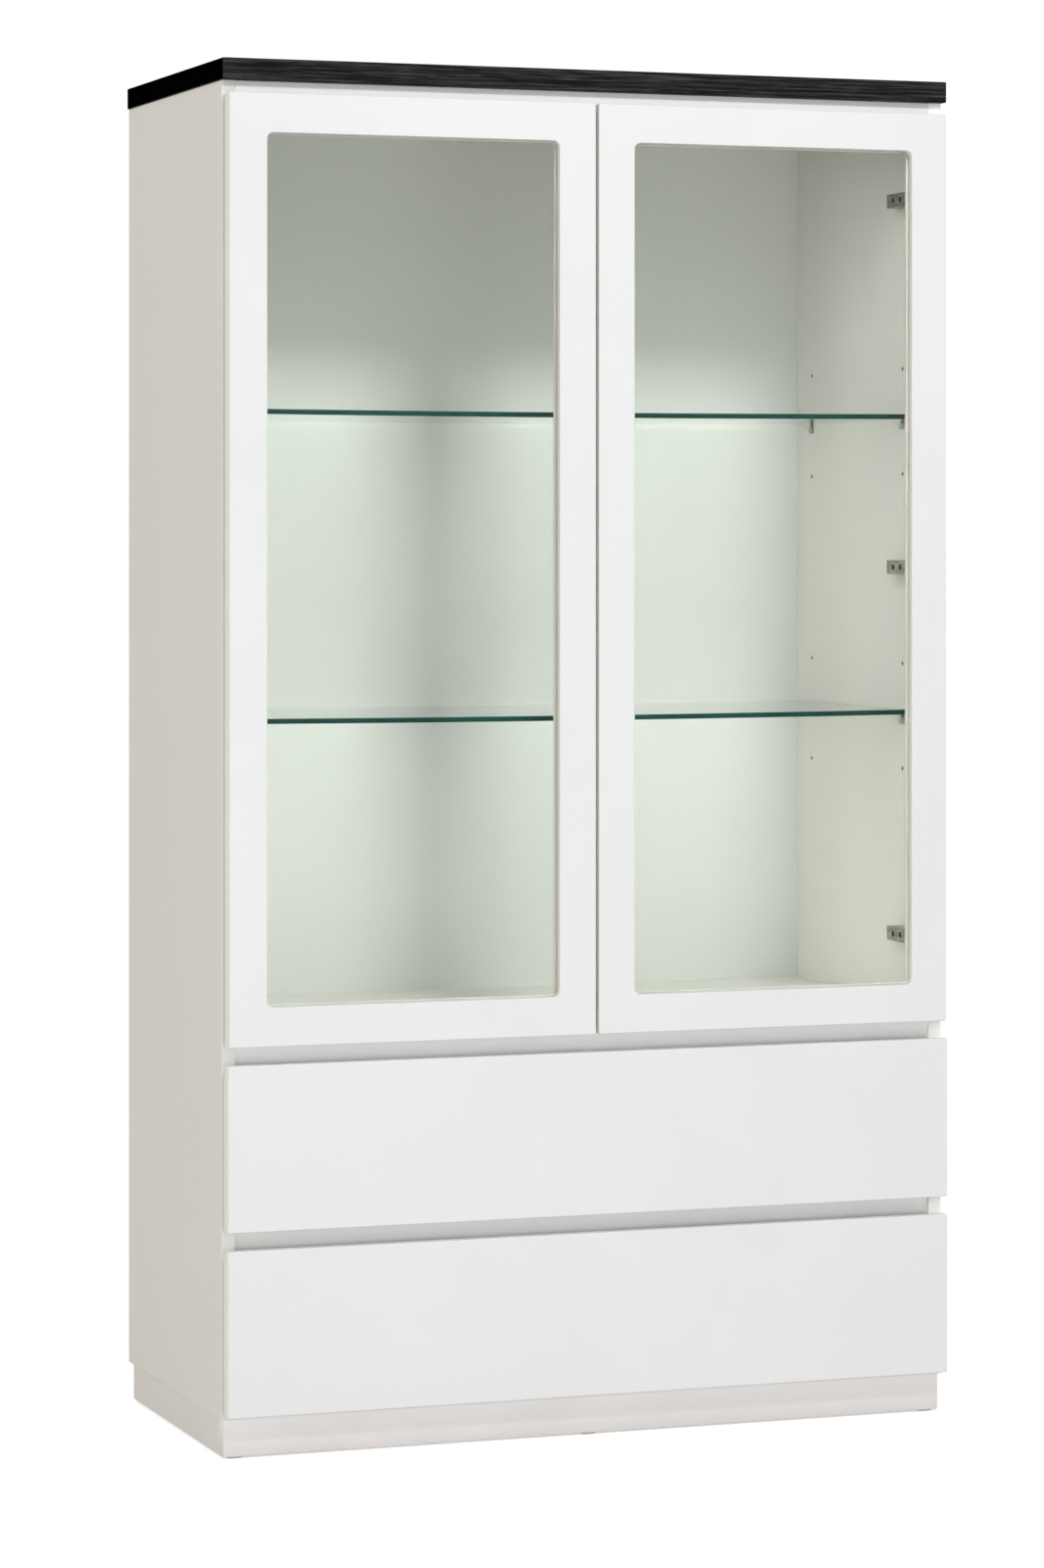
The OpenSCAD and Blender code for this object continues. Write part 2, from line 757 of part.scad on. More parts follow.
left_side_panel();
right_side_panel();
carcass_top_panel();
black_top_board();
cabinet_floor_panel();
carcass_bottom_panel();
upper_back_panel();
lower_back_panel();
upper_grip_rail();
middle_grip_rail();
plinth_front_rail();
plinth_back_rail();
plinth_left_rail();
plinth_right_rail();
floor_glides();
upper_glass_shelf();
lower_glass_shelf();
shelf_supports();
hinge_plates();
hinge_arms();
hinge_adjusters();
hinge_plate_screws();
cam_locks();
cam_bolts();
back_nails();
upper_fixed_rails();
lower_fixed_rails();
left_door_frame();
left_door_glass();
left_glazing_bead();
left_hinge_cups();
left_hinge_pins();
left_cup_screws();
left_door_bumpers();
right_door_frame();
right_door_glass();
right_glazing_bead();
right_hinge_cups();
right_hinge_pins();
right_cup_screws();
right_door_bumpers();
upper_drawer_front();
upper_drawer_left_side();
upper_drawer_right_side();
upper_drawer_back();
upper_drawer_bottom();
upper_inner_rails();
upper_drawer_bumpers();
lower_drawer_front();
lower_drawer_left_side();
lower_drawer_right_side();
lower_drawer_back();
lower_drawer_bottom();
lower_inner_rails();
lower_drawer_bumpers();
upper_middle_rails();
upper_ball_cages();
lower_middle_rails();
lower_ball_cages();
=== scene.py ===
import json
import math

import bmesh
import bpy
from mathutils import Euler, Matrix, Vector

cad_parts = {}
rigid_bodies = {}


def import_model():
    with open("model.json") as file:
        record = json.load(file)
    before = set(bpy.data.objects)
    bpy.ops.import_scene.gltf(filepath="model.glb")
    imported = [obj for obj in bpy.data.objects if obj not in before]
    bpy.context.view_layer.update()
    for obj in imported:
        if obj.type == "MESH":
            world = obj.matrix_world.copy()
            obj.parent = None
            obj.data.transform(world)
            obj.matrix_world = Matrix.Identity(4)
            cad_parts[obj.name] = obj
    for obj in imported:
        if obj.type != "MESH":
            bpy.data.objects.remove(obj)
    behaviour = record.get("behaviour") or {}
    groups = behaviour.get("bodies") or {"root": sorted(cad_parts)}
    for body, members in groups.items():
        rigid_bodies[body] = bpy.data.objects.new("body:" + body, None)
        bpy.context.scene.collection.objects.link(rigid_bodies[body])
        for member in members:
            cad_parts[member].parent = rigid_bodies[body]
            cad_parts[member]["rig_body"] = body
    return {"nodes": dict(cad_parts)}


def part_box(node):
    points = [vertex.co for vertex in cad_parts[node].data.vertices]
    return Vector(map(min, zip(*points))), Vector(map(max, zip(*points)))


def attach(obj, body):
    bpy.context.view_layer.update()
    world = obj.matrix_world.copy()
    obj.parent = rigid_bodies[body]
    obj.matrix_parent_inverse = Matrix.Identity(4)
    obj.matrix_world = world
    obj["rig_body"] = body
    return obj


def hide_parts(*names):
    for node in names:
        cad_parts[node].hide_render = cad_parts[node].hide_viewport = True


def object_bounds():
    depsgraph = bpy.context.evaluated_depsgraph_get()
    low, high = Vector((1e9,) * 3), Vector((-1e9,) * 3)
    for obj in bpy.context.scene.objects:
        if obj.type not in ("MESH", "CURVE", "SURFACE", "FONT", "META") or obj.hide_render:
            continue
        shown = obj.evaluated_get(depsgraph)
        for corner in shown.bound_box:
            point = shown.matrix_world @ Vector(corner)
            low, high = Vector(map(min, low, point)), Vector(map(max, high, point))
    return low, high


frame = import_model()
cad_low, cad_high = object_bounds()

cad = frame["nodes"]


# ---- Camera ------------------------------------------------------------------------------
# A long lens, held level, stands to the left of the cabinet and a little below the middle of
# its glazed part, so that verticals stay upright and the left side panel shows.

camera_data = bpy.data.cameras.new("camera")
camera_data.sensor_width = 36
camera_data.lens = 108.913
camera_data.shift_y = -0.1634
camera_data.dof.use_dof = False
camera_data.clip_end = 100
camera = bpy.data.objects.new("camera", camera_data)
camera.location = (-1.9538, -5.4039, 1.0639)
camera.rotation_euler = Euler((math.radians(90), 0, math.radians(-19.72)))
bpy.context.scene.collection.objects.link(camera)
bpy.context.scene.camera = camera


# ---- Studio ------------------------------------------------------------------------------
# A white sweep in a pale room: the floor runs on into a white surround, one large softbox
# hangs high in front, a little to the right, and the room fills the shadows evenly.


def add_node(tree, kind, inputs=None, **settings):
    """A node in this tree, its settings made and its inputs given or joined by name."""
    made = tree.nodes.new(kind)
    for name, value in settings.items():
        setattr(made, name, value)
    for name, value in (inputs or {}).items():
        if isinstance(value, bpy.types.NodeSocket):
            tree.links.new(value, made.inputs[name])
        else:
            made.inputs[name].default_value = value
    return made


def add_math(tree, operation, first, second=0.0, third=0.0):
    made = add_node(tree, "ShaderNodeMath", {0: first, 1: second, 2: third}, operation=operation)
    return made.outputs[0]


room_light = 0.66
room_white = (1.0, 0.99, 0.97, 1)
sheet_white = 1.05

room = bpy.data.worlds.new("pale room")
room.use_nodes = True
room.node_tree.nodes.clear()
tree = room.node_tree
fill = add_node(tree, "ShaderNodeBackground", {"Color": room_white, "Strength": room_light})
surround = add_node(
    tree, "ShaderNodeBackground", {"Color": (1, 1, 1, 1), "Strength": sheet_white}
)
seen = add_node(tree, "ShaderNodeLightPath")
both = add_node(
    tree,
    "ShaderNodeMixShader",
    {0: seen.outputs["Is Camera Ray"], 1: fill.outputs[0], 2: surround.outputs[0]},
)
add_node(tree, "ShaderNodeOutputWorld", {"Surface": both.outputs[0]})
bpy.context.scene.world = room
bpy.context.scene.view_settings.view_transform = "Standard"
bpy.context.scene.view_settings.look = "None"

floor_half = 40.0
floor_glow = 0.57
floor_paint = bpy.data.materials.new("white floor sheet")
floor_paint.use_nodes = True
tree = floor_paint.node_tree
grit = add_node(tree, "ShaderNodeTexNoise", {"Scale": 6.0, "Detail": 6.0})
tone = add_node(
    tree,
    "ShaderNodeMix",
    {0: grit.outputs[0], 6: (0.74, 0.735, 0.725, 1), 7: (0.77, 0.765, 0.755, 1)},
    data_type="RGBA",
)
tree.links.new(tone.outputs[2], tree.nodes["Principled BSDF"].inputs["Base Color"])
tree.nodes["Principled BSDF"].inputs["Roughness"].default_value = 0.85
tree.nodes["Principled BSDF"].inputs["Specular IOR Level"].default_value = 0.2
lit = add_node(tree, "ShaderNodeEmission", {
    "Color": (1, 1, 1, 1),
    "Strength": add_math(
        tree, "MULTIPLY", add_node(tree, "ShaderNodeLightPath").outputs["Is Camera Ray"], floor_glow
    ),
})
joined = add_node(
    tree, "ShaderNodeAddShader", {0: tree.nodes["Principled BSDF"].outputs[0], 1: lit.outputs[0]}
)
tree.links.new(joined.outputs[0], tree.nodes["Material Output"].inputs["Surface"])

floor_mesh = bpy.data.meshes.new("floor")
floor_mesh.from_pydata(
    [(x * floor_half, y * floor_half, 0) for x, y in ((-1, -1), (1, -1), (1, 1), (-1, 1))],
    [],
    [(0, 1, 2, 3)],
)
floor_mesh.materials.append(floor_paint)
floor = bpy.data.objects.new("floor", floor_mesh)
bpy.context.scene.collection.objects.link(floor)


def hang_light(name, aim, side, rise, away, across, watts, tint):
    """A softbox whose centre lies this far from its aim, its sideways and upward slopes given."""
    data = bpy.data.lights.new(name, "AREA")
    data.shape = "RECTANGLE"
    data.size, data.size_y = across
    data.energy = watts
    data.color = tint
    lamp = bpy.data.objects.new(name, data)
    towards = Vector((side, -1, rise)).normalized()
    lamp.location = aim + towards * away
    lamp.rotation_euler = towards.to_track_quat("Z", "Y").to_euler()
    bpy.context.scene.collection.objects.link(lamp)
    return lamp


middle = (cad_low + cad_high) / 2
door_head = Vector((0, cad_low.y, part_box("left_door_frame")[1].z))
drawer_line = Vector((0, cad_low.y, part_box("upper_drawer_front")[0].z))
hang_light("key softbox", door_head, 0.145, 0.59, 2.72, (0.7, 0.42), 27, (0.965, 0.985, 1))
hang_light("low card", drawer_line, -0.12, 0.06, 2.6, (1.4, 0.8), 11.5, (0.965, 0.985, 1))
hang_light("side fill", middle, -4.5, 0.8, 5.5, (3.0, 3.0), 42, (1, 0.94, 0.86))
front_card = hang_light("front card", door_head, 0.145, 0.59, 6.0, (1.5, 0.7), 60, (0.95, 0.975, 1))
rail_card = hang_light("rail card", drawer_line, -0.3, 0.05, 6.0, (3.0, 1.5), 32, (1, 1, 1))
left_card = hang_light("left card", middle, -0.84, 0.52, 6.0, (3.0, 4.6), 225, (1, 1, 1))


# ---- White lacquered parts ---------------------------------------------------------------
# The two door frames are one-piece routed fibreboard. They, the drawer fronts and the grip
# rails are sprayed with satin white lacquer, which softens every outer edge. The upright
# edges get a lighter, creamier copy of it, painted light that lifts their shade; the grip
# rails get a whiter copy, painted light against the shade of the finger gaps.


weld = 0.00002


def softened(node, radius, chosen=lambda middle, along: True, rounds=3, least=40):
    """A copy of a CAD node, its chosen sharp edges rounded, that rides where the node does."""
    shape = bmesh.new()
    shape.from_mesh(cad[node].data)
    bmesh.ops.remove_doubles(shape, verts=shape.verts, dist=weld)
    bmesh.ops.dissolve_limit(
        shape, angle_limit=math.radians(0.4), verts=shape.verts, edges=shape.edges
    )
    edges = []
    for edge in shape.edges:
        ends = [v.co for v in edge.verts]
        if len(edge.link_faces) == 2 and edge.calc_face_angle(0) > math.radians(least):
            if chosen((ends[0] + ends[1]) / 2, ends[1] - ends[0]):
                edges.append(edge)
    bmesh.ops.bevel(
        shape,
        geom=edges,
        offset=radius,
        offset_type="OFFSET",
        segments=rounds,
        profile=0.5,
        affect="EDGES",
        clamp_overlap=True,
        miter_outer="ARC",
    )
    for face in shape.faces:
        face.smooth = True
    mesh = bpy.data.meshes.new(node + "_made")
    shape.to_mesh(mesh)
    shape.free()
    mesh.set_sharp_from_angle(angle=math.radians(38))
    return place_piece(node, mesh)


def new_piece(name, mesh):
    piece = bpy.data.objects.new(name, mesh)
    bpy.context.scene.collection.objects.link(piece)
    return piece


def place_piece(node, mesh):
    """An object with this mesh that stands for the CAD node and rides on its body."""
    piece = new_piece(node + "_made", mesh)
    levelled = piece.modifiers.new("flat faces shade flat", "WEIGHTED_NORMAL")
    levelled.keep_sharp = True
    levelled.weight = 80
    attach(piece, cad[node]["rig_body"])
    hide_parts(node)
    return piece


def wear(piece, *materials, second=None):
    """These materials and no others, the second of them on the faces that the test picks."""
    piece.data.materials.clear()
    for material in materials:
        piece.data.materials.append(material)
    if second:
        for face in piece.data.polygons:
            face.material_index = int(second(face))


def new_group(name, inputs, outputs):
    """A shader node group with these numbers in, and these sockets out."""
    group = bpy.data.node_groups.new(name, "ShaderNodeTree")
    for title, value in inputs.items():
        made = group.interface.new_socket(title, in_out="INPUT", socket_type="NodeSocketFloat")
        made.default_value = value
    for title, kind in outputs.items():
        group.interface.new_socket(title, in_out="OUTPUT", socket_type=kind)
    given = group.nodes.new("NodeGroupInput").outputs
    where = group.nodes.new("ShaderNodeTexCoord").outputs["Object"]
    return group, given, where


def use_group(tree, group, **inputs):
    inputs = {name.replace("_", " "): value for name, value in inputs.items()}
    return add_node(tree, "ShaderNodeGroup", inputs, node_tree=group).outputs


# Sprayed film: slow waves as it levelled, a fine ripple, and a few specks of settled dust.
sprayed, given, where = new_group(
    "sprayed film",
    {"Wave size": 0.12, "Ripple size": 0.0022, "Ripple share": 0.25, "Specks": 0.02},
    {"Height": "NodeSocketFloat", "Cloud": "NodeSocketFloat", "Speck": "NodeSocketFloat"},
)
waves = add_node(
    sprayed,
    "ShaderNodeTexNoise",
    {
        "Vector": where,
        "Scale": add_math(sprayed, "DIVIDE", 1.0, given["Wave size"]),
        "Detail": 2.0,
    },
)
ripple = add_node(
    sprayed,
    "ShaderNodeTexNoise",
    {
        "Vector": where,
        "Scale": add_math(sprayed, "DIVIDE", 1.0, given["Ripple size"]),
        "Detail": 2.0,
        "Roughness": 0.4,
    },
)
dust = add_node(sprayed, "ShaderNodeTexVoronoi", {"Vector": where, "Scale": 55.0})
speck = add_node(
    sprayed,
    "ShaderNodeMapRange",
    {"Value": dust.outputs["Distance"], "From Min": 0.0, "From Max": given["Specks"],
     "To Min": 1.0, "To Max": 0.0},
)
height = add_math(
    sprayed,
    "MULTIPLY_ADD",
    ripple.outputs[0],
    given["Ripple share"],
    add_math(sprayed, "MULTIPLY_ADD", speck.outputs[0], 0.4, waves.outputs[0]),
)
add_node(
    sprayed,
    "NodeGroupOutput",
    {"Height": height, "Cloud": waves.outputs[0], "Speck": speck.outputs[0]},
)


def between(tree, share, low, high):
    """A colour part of the way from low to high, by a varying share."""
    mixed = add_node(tree, "ShaderNodeMix", {0: share, 6: low, 7: high}, data_type="RGBA")
    return mixed.outputs[2]


def span(tree, value, low, high, start=0.3, end=0.7):
    """A varying value brought to the range low to high."""
    made = add_node(
        tree,
        "ShaderNodeMapRange",
        {"Value": value, "From Min": start, "From Max": end, "To Min": low, "To Max": high},
    )
    return made.outputs[0]


def new_material(name, **sockets):
    """A material with only its shader, the sockets that are the same all over given here."""
    material = bpy.data.materials.new(name)
    material.use_nodes = True
    shader = material.node_tree.nodes["Principled BSDF"]
    for title, value in sockets.items():
        shader.inputs[title.replace("_", " ")].default_value = value
    return material, material.node_tree, shader


def finish_with(tree, shader, colour, roughness, height, depth):
    """The varying colour, roughness and relief joined to the shader."""
    bump = add_node(tree, "ShaderNodeBump", {"Height": height, "Distance": depth, "Strength": 1.0})
    tree.links.new(colour, shader.inputs["Base Color"])
    tree.links.new(roughness, shader.inputs["Roughness"])
    tree.links.new(bump.outputs[0], shader.inputs["Normal"])


def lacquer(name, low, high, gloss):
    """Satin lacquer between two near whites, its roughness round this gloss."""
    material, tree, shader = new_material(name, IOR=1.48, Specular_IOR_Level=0.5)
    film = use_group(tree, sprayed, Wave_size=0.16, Ripple_size=0.0028, Ripple_share=0.12)
    finish_with(
        tree,
        shader,
        between(tree, span(tree, film["Cloud"], 0, 1), low, high),
        span(tree, film["Cloud"], gloss - 0.03, gloss + 0.03),
        film["Height"],
        0.00006,
    )
    return material


white_lacquer = lacquer(
    "satin white lacquer", (0.82, 0.825, 0.834, 1), (0.84, 0.845, 0.853, 1), 0.4
)
# A lighter, creamier copy of the lacquer for the upright edges: painted light.
lit_edge_lacquer = lacquer(
    "creamier edge with painted light", (0.89, 0.875, 0.82, 1), (0.91, 0.895, 0.84, 1), 0.45
)
# Whiter than the door lacquer: painted light against the shade in the finger gaps.
lifted_rail_lacquer = lacquer("rail lacquer with painted light", (0.885, 0.885, 0.87, 1), (0.9, 0.9, 0.885, 1), 0.46)


def upright_edge(face):
    return abs(face.normal.x) > 0.9


# Only the frame's front edges and its four long corners are rounded, not the rebate behind.
door_edge = 0.0016
shortest_corner = 0.015
for side in ("left", "right"):
    node = side + "_door_frame"
    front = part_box(node)[0].y
    piece = softened(
        node,
        door_edge,
        lambda middle, along: middle.y < front + 0.0005
        or (abs(along.y) > shortest_corner and abs(along.x) + abs(along.z) < 0.0001),
    )
    wear(piece, white_lacquer, lit_edge_lacquer, second=upright_edge)

front_edge = 0.0013
for node in ("upper_drawer_front", "lower_drawer_front"):
    piece = softened(node, front_edge)
    wear(piece, white_lacquer, lit_edge_lacquer, second=upright_edge)

for node in ("upper_grip_rail", "middle_grip_rail"):
    piece = softened(node, 0.0006)
    wear(piece, lifted_rail_lacquer)

# The plinth's front is coloured darker towards the floor, painted shade, and lighter at the
# top, painted light against the shadow of the drawer front above, over a faint random tone.
plinth_painted_shade_lacquer, tree, shader = new_material(
    "plinth lacquer with painted shade", IOR=1.48, Specular_IOR_Level=0.4
)
film = use_group(tree, sprayed, Wave_size=0.11, Ripple_size=0.0028, Ripple_share=0.12)
plinth_low, plinth_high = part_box("plinth_front_rail")
height_up = add_node(
    tree, "ShaderNodeSeparateXYZ", {0: add_node(tree, "ShaderNodeTexCoord").outputs["Object"]}
).outputs["Z"]
# Painted shade and light by height: darker low down, lighter at the top, plus a random tone.
tone_and_painted_shade = add_math(
    tree,
    "ADD",
    span(tree, film["Cloud"], -0.07, 0.07),
    span(tree, height_up, 0.15, 0.95, plinth_low.z, plinth_high.z),
)
finish_with(
    tree,
    shader,
    between(tree, tone_and_painted_shade, (0.68, 0.645, 0.625, 1), (0.91, 0.885, 0.88, 1)),
    span(tree, film["Cloud"], 0.42, 0.5),
    film["Height"],
    0.00006,
)
piece = softened("plinth_front_rail", 0.0006)
wear(piece, plinth_painted_shade_lacquer)


# ---- Carcass boards ----------------------------------------------------------------------
# Particle board faced with a warm white melamine paper, which has a fine pearl to it. The
# long edges carry a thin plastic band, whose glue line shows a hair back from the edge.
# Bores and rebates show the raw chips.

pearled, given, where = new_group(
    "pearled paper",
    {"Pearl size": 0.0011, "Mottle size": 0.25},
    {"Height": "NodeSocketFloat", "Mottle": "NodeSocketFloat", "Grain": "NodeSocketFloat"},
)
pearl = add_node(
    pearled,
    "ShaderNodeTexVoronoi",
    {"Vector": where, "Scale": add_math(pearled, "DIVIDE", 1.0, given["Pearl size"])},
    feature="SMOOTH_F1",
)
mottle = add_node(
    pearled,
    "ShaderNodeTexNoise",
    {
        "Vector": where,
        "Scale": add_math(pearled, "DIVIDE", 1.0, given["Mottle size"]),
        "Detail": 5.0,
        "Roughness": 0.6,
    },
)
fibre = add_node(
    pearled,
    "ShaderNodeTexNoise",
    {"Vector": where, "Scale": 900.0, "Detail": 2.0},
)
add_node(
    pearled,
    "NodeGroupOutput",
    {
        "Height": pearl.outputs["Distance"],
        "Mottle": mottle.outputs[0],
        "Grain": fibre.outputs[0],
    },
)


band_thick = 0.0009
# A whiter plastic band, set whiter still as painted light against the shade under the top board.
band_white_with_painted_light = (0.88, 0.875, 0.86, 1)
glue_brown = (0.4, 0.38, 0.33, 1)


def melamine(name, low, high, band_y=None, gloss=0.5):
    """Melamine facing, with an edge band whose front is at this depth, and its glue line."""
    material, tree, shader = new_material(name, IOR=1.5, Specular_IOR_Level=0.4)
    paper = use_group(tree, pearled)
    tone = add_math(
        tree,
        "ADD",
        span(tree, paper["Grain"], -0.2, 0.2),
        span(tree, paper["Mottle"], 0.1, 0.9),
    )
    colour = between(tree, tone, low, high)
    if band_y is not None:
        depth = add_node(
            tree,
            "ShaderNodeSeparateXYZ",
            {0: add_node(tree, "ShaderNodeTexCoord").outputs["Object"]},
        ).outputs["Y"]
        line = add_math(tree, "COMPARE", depth, band_y + band_thick + 0.0002, 0.0003)
        band = add_math(tree, "LESS_THAN", depth, band_y + band_thick)
        colour = between(tree, band, colour, band_white_with_painted_light)
        colour = between(tree, add_math(tree, "MULTIPLY", line, 0.35), colour, glue_brown)
    finish_with(
        tree,
        shader,
        colour,
        span(tree, paper["Mottle"], gloss - 0.04, gloss + 0.05),
        paper["Height"],
        0.00004,
    )
    return material


paper_low, paper_high = (0.782, 0.762, 0.718, 1), (0.8, 0.78, 0.738, 1)
board_edge = 0.0005
banded_boards = (
    "left_side_panel",
    "right_side_panel",
    "carcass_top_panel",
    "cabinet_floor_panel",
    "carcass_bottom_panel",
)
raw_board, tree, shader = new_material("raw particle board", IOR=1.45, Specular_IOR_Level=0.1)
chips = use_group(tree, pearled, Pearl_size=0.0016, Mottle_size=0.004)
finish_with(
    tree,
    shader,
    between(tree, span(tree, chips["Mottle"], 0, 1), (0.16, 0.11, 0.065, 1), (0.3, 0.22, 0.14, 1)),
    span(tree, chips["Mottle"], 0.8, 0.95),
    chips["Height"],
    0.0002,
)
skin = 0.001
for node in banded_boards:
    low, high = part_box(node)
    piece = softened(node, board_edge, lambda middle, along: along.length > 0.02, rounds=2)
    wear(
        piece,
        melamine(node + " melamine", paper_low, paper_high, low.y),
        raw_board,
        second=lambda face: all(
            low[i] + skin < face.center[i] < high[i] - skin for i in range(3)
        ),
    )

plain_melamine = melamine("plain melamine", paper_low, paper_high)
plain_boards = (
    "plinth_back_rail",
    "plinth_left_rail",
    "plinth_right_rail",
    "upper_drawer_left_side",
    "upper_drawer_right_side",
    "upper_drawer_back",
    "lower_drawer_left_side",
    "lower_drawer_right_side",
    "lower_drawer_back",
)
for node in plain_boards:
    piece = softened(node, board_edge, lambda middle, along: along.length > 0.01, rounds=2)
    wear(piece, plain_melamine)


# ---- Back panels and drawer bottoms ------------------------------------------------------
# Thin hardboard, lacquered white on the side that shows inside. It lies in rebates and
# grooves, so its own edges are hardly seen and stay as they were sawn.

hardboard, tree, shader = new_material("white hardboard", IOR=1.48, Specular_IOR_Level=0.35)
film = use_group(tree, sprayed, Wave_size=0.3, Ripple_size=0.0016, Ripple_share=0.3, Specks=0.03)
finish_with(
    tree,
    shader,
    between(
        tree,
        span(tree, film["Cloud"], 0, 1),
        (0.745, 0.745, 0.715, 1),
        (0.765, 0.765, 0.735, 1),
    ),
    span(tree, film["Cloud"], 0.52, 0.6),
    film["Height"],
    0.0001,
)
for node in ("upper_back_panel", "lower_back_panel", "upper_drawer_bottom", "lower_drawer_bottom"):
    wear(cad[node], hardboard)


# ---- Black top board ---------------------------------------------------------------------
# A thick board with black ash foil, its grain running along the cabinet. The front corners
# are slightly eased, and the ends carry a plain matt black band, its colour set far darker
# than the foil's as painted shade.

grained, given, where = new_group(
    "long grain",
    {"Streak width": 0.0016, "Streak length": 0.14, "Bend": 0.002, "Pore depth": 1.0},
    {"Streak": "NodeSocketFloat", "Pore": "NodeSocketFloat", "Height": "NodeSocketFloat"},
)
drift = add_node(grained, "ShaderNodeTexNoise", {"Vector": where, "Scale": 5.0, "Detail": 3.0})
bent = add_node(
    grained,
    "ShaderNodeVectorMath",
    {
        0: add_node(
            grained,
            "ShaderNodeVectorMath",
            {0: drift.outputs["Color"], 1: (0.5, 0.5, 0.5)},
            operation="SUBTRACT",
        ).outputs[0],
        1: given["Bend"],
        2: where,
    },
    operation="MULTIPLY_ADD",
).outputs[0]
parts = add_node(grained, "ShaderNodeSeparateXYZ", {0: bent}).outputs
stretched = add_node(
    grained,
    "ShaderNodeCombineXYZ",
    {
        "X": add_math(grained, "DIVIDE", parts["X"], given["Streak length"]),
        "Y": add_math(grained, "DIVIDE", parts["Y"], given["Streak width"]),
        "Z": add_math(grained, "DIVIDE", parts["Z"], given["Streak width"]),
    },
).outputs[0]
streak = add_node(
    grained,
    "ShaderNodeTexNoise",
    {"Vector": stretched, "Scale": 0.35, "Detail": 5.0, "Roughness": 0.62},
)
pore = add_node(
    grained,
    "ShaderNodeTexNoise",
    {"Vector": stretched, "Scale": 1.6, "Detail": 2.0, "Roughness": 0.5},
)
pore_mask = add_node(
    grained,
    "ShaderNodeMapRange",
    {"Value": pore.outputs[0], "From Min": 0.36, "From Max": 0.47, "To Min": 1.0, "To Max": 0.0},
)
add_node(
    grained,
    "NodeGroupOutput",
    {
        "Streak": streak.outputs[0],
        "Pore": pore_mask.outputs[0],
        "Height": add_math(
            grained,
            "SUBTRACT",
            add_math(grained, "MULTIPLY", streak.outputs[0], 0.4),
            add_math(grained, "MULTIPLY", pore_mask.outputs[0], given["Pore depth"]),
        ),
    },
)

black_ash, tree, shader = new_material("black ash foil", IOR=1.46, Specular_IOR_Level=0.12)
wood = use_group(tree, grained, Streak_width=0.0006, Streak_length=0.03)
ash = between(
    tree,
    span(tree, wood["Streak"], 0, 1, 0.44, 0.66),
    (0.003, 0.003, 0.0034, 1),
    (0.062, 0.062, 0.066, 1),
)
ash = between(tree, add_math(tree, "MULTIPLY", wood["Pore"], 0.75), ash, (0.002, 0.002, 0.002, 1))
finish_with(tree, shader, ash, span(tree, wood["Streak"], 0.5, 0.62), wood["Height"], 0.00008)

# Painted shade: the ends' colour is set far darker than the foil's, besides having no sheen.
shaded_end_band, tree, shader = new_material("matt black end band with painted shade", IOR=1.3, Specular_IOR_Level=0.0)
wood = use_group(tree, grained, Streak_length=0.02, Pore_depth=0.4)
finish_with(
    tree,
    shader,
    between(tree, wood["Streak"], (0.0003, 0.0003, 0.0003, 1), (0.0009, 0.0009, 0.0009, 1)),
    span(tree, wood["Streak"], 0.7, 0.8),
    wood["Height"],
    0.00005,
)

piece = softened("black_top_board", 0.0012)
wear(piece, black_ash, shaded_end_band, second=lambda face: abs(face.normal.x) > 0.8)


# ---- Door glass --------------------------------------------------------------------------
# Clear float glass, four millimetres thick, laid in the routed rebate from behind. Its own
# faint green shows where it stands in front of white.


def clear_glass(name, tint, shade, wave_depth, bends=1.5):
    """Clear glass or plastic that lets light through to what is behind it, slightly wavy."""
    material, tree, shader = new_material(
        name, IOR=bends, Transmission_Weight=1.0, Specular_Tint=(0.45, 0.45, 0.45, 1)
    )
    film = use_group(tree, sprayed, Wave_size=0.35, Ripple_size=0.02, Ripple_share=0.05, Specks=0)
    finish_with(
        tree,
        shader,
        between(tree, span(tree, film["Cloud"], 0, 1), tint, [c * 0.995 for c in tint[:3]] + [1]),
        span(tree, film["Cloud"], 0.0, 0.012),
        film["Cloud"],
        wave_depth,
    )
    clear = add_node(tree, "ShaderNodeBsdfTransparent", {"Color": shade})
    joined = add_node(
        tree,
        "ShaderNodeMixShader",
        {
            0: add_node(tree, "ShaderNodeLightPath").outputs["Is Shadow Ray"],
            1: shader.outputs[0],
            2: clear.outputs[0],
        },
    )
    tree.links.new(joined.outputs[0], tree.nodes["Material Output"].inputs["Surface"])
    return material


door_glass = clear_glass(
    "door float glass", (0.955, 0.98, 0.95, 1), (0.935, 0.95, 0.935, 1), 0.00002
)
for side in ("left", "right"):
    node = side + "_door_glass"
    wear(cad[node], door_glass)


# ---- Glass shelves -----------------------------------------------------------------------
# Two full-width panes of float glass with ground edges. Each lies on its supports near the
# ends and sags a little in the middle under its own weight.

shelf_glass = clear_glass(
    "shelf float glass", (0.94, 0.98, 0.95, 1), (0.985, 0.995, 0.988, 1), 0.00001
)
ground_edge, tree, shader = new_material("ground glass edge", IOR=1.4, Specular_IOR_Level=0.04)
film = use_group(tree, sprayed, Wave_size=0.09, Ripple_size=0.001, Ripple_share=0.6)
finish_with(
    tree,
    shader,
    between(
        tree,
        span(tree, film["Cloud"], 0, 1),
        (0.0, 0.042, 0.034, 1),
        (0.0005, 0.062, 0.05, 1),
    ),
    span(tree, film["Cloud"], 0.22, 0.34),
    film["Height"],
    0.00004,
)


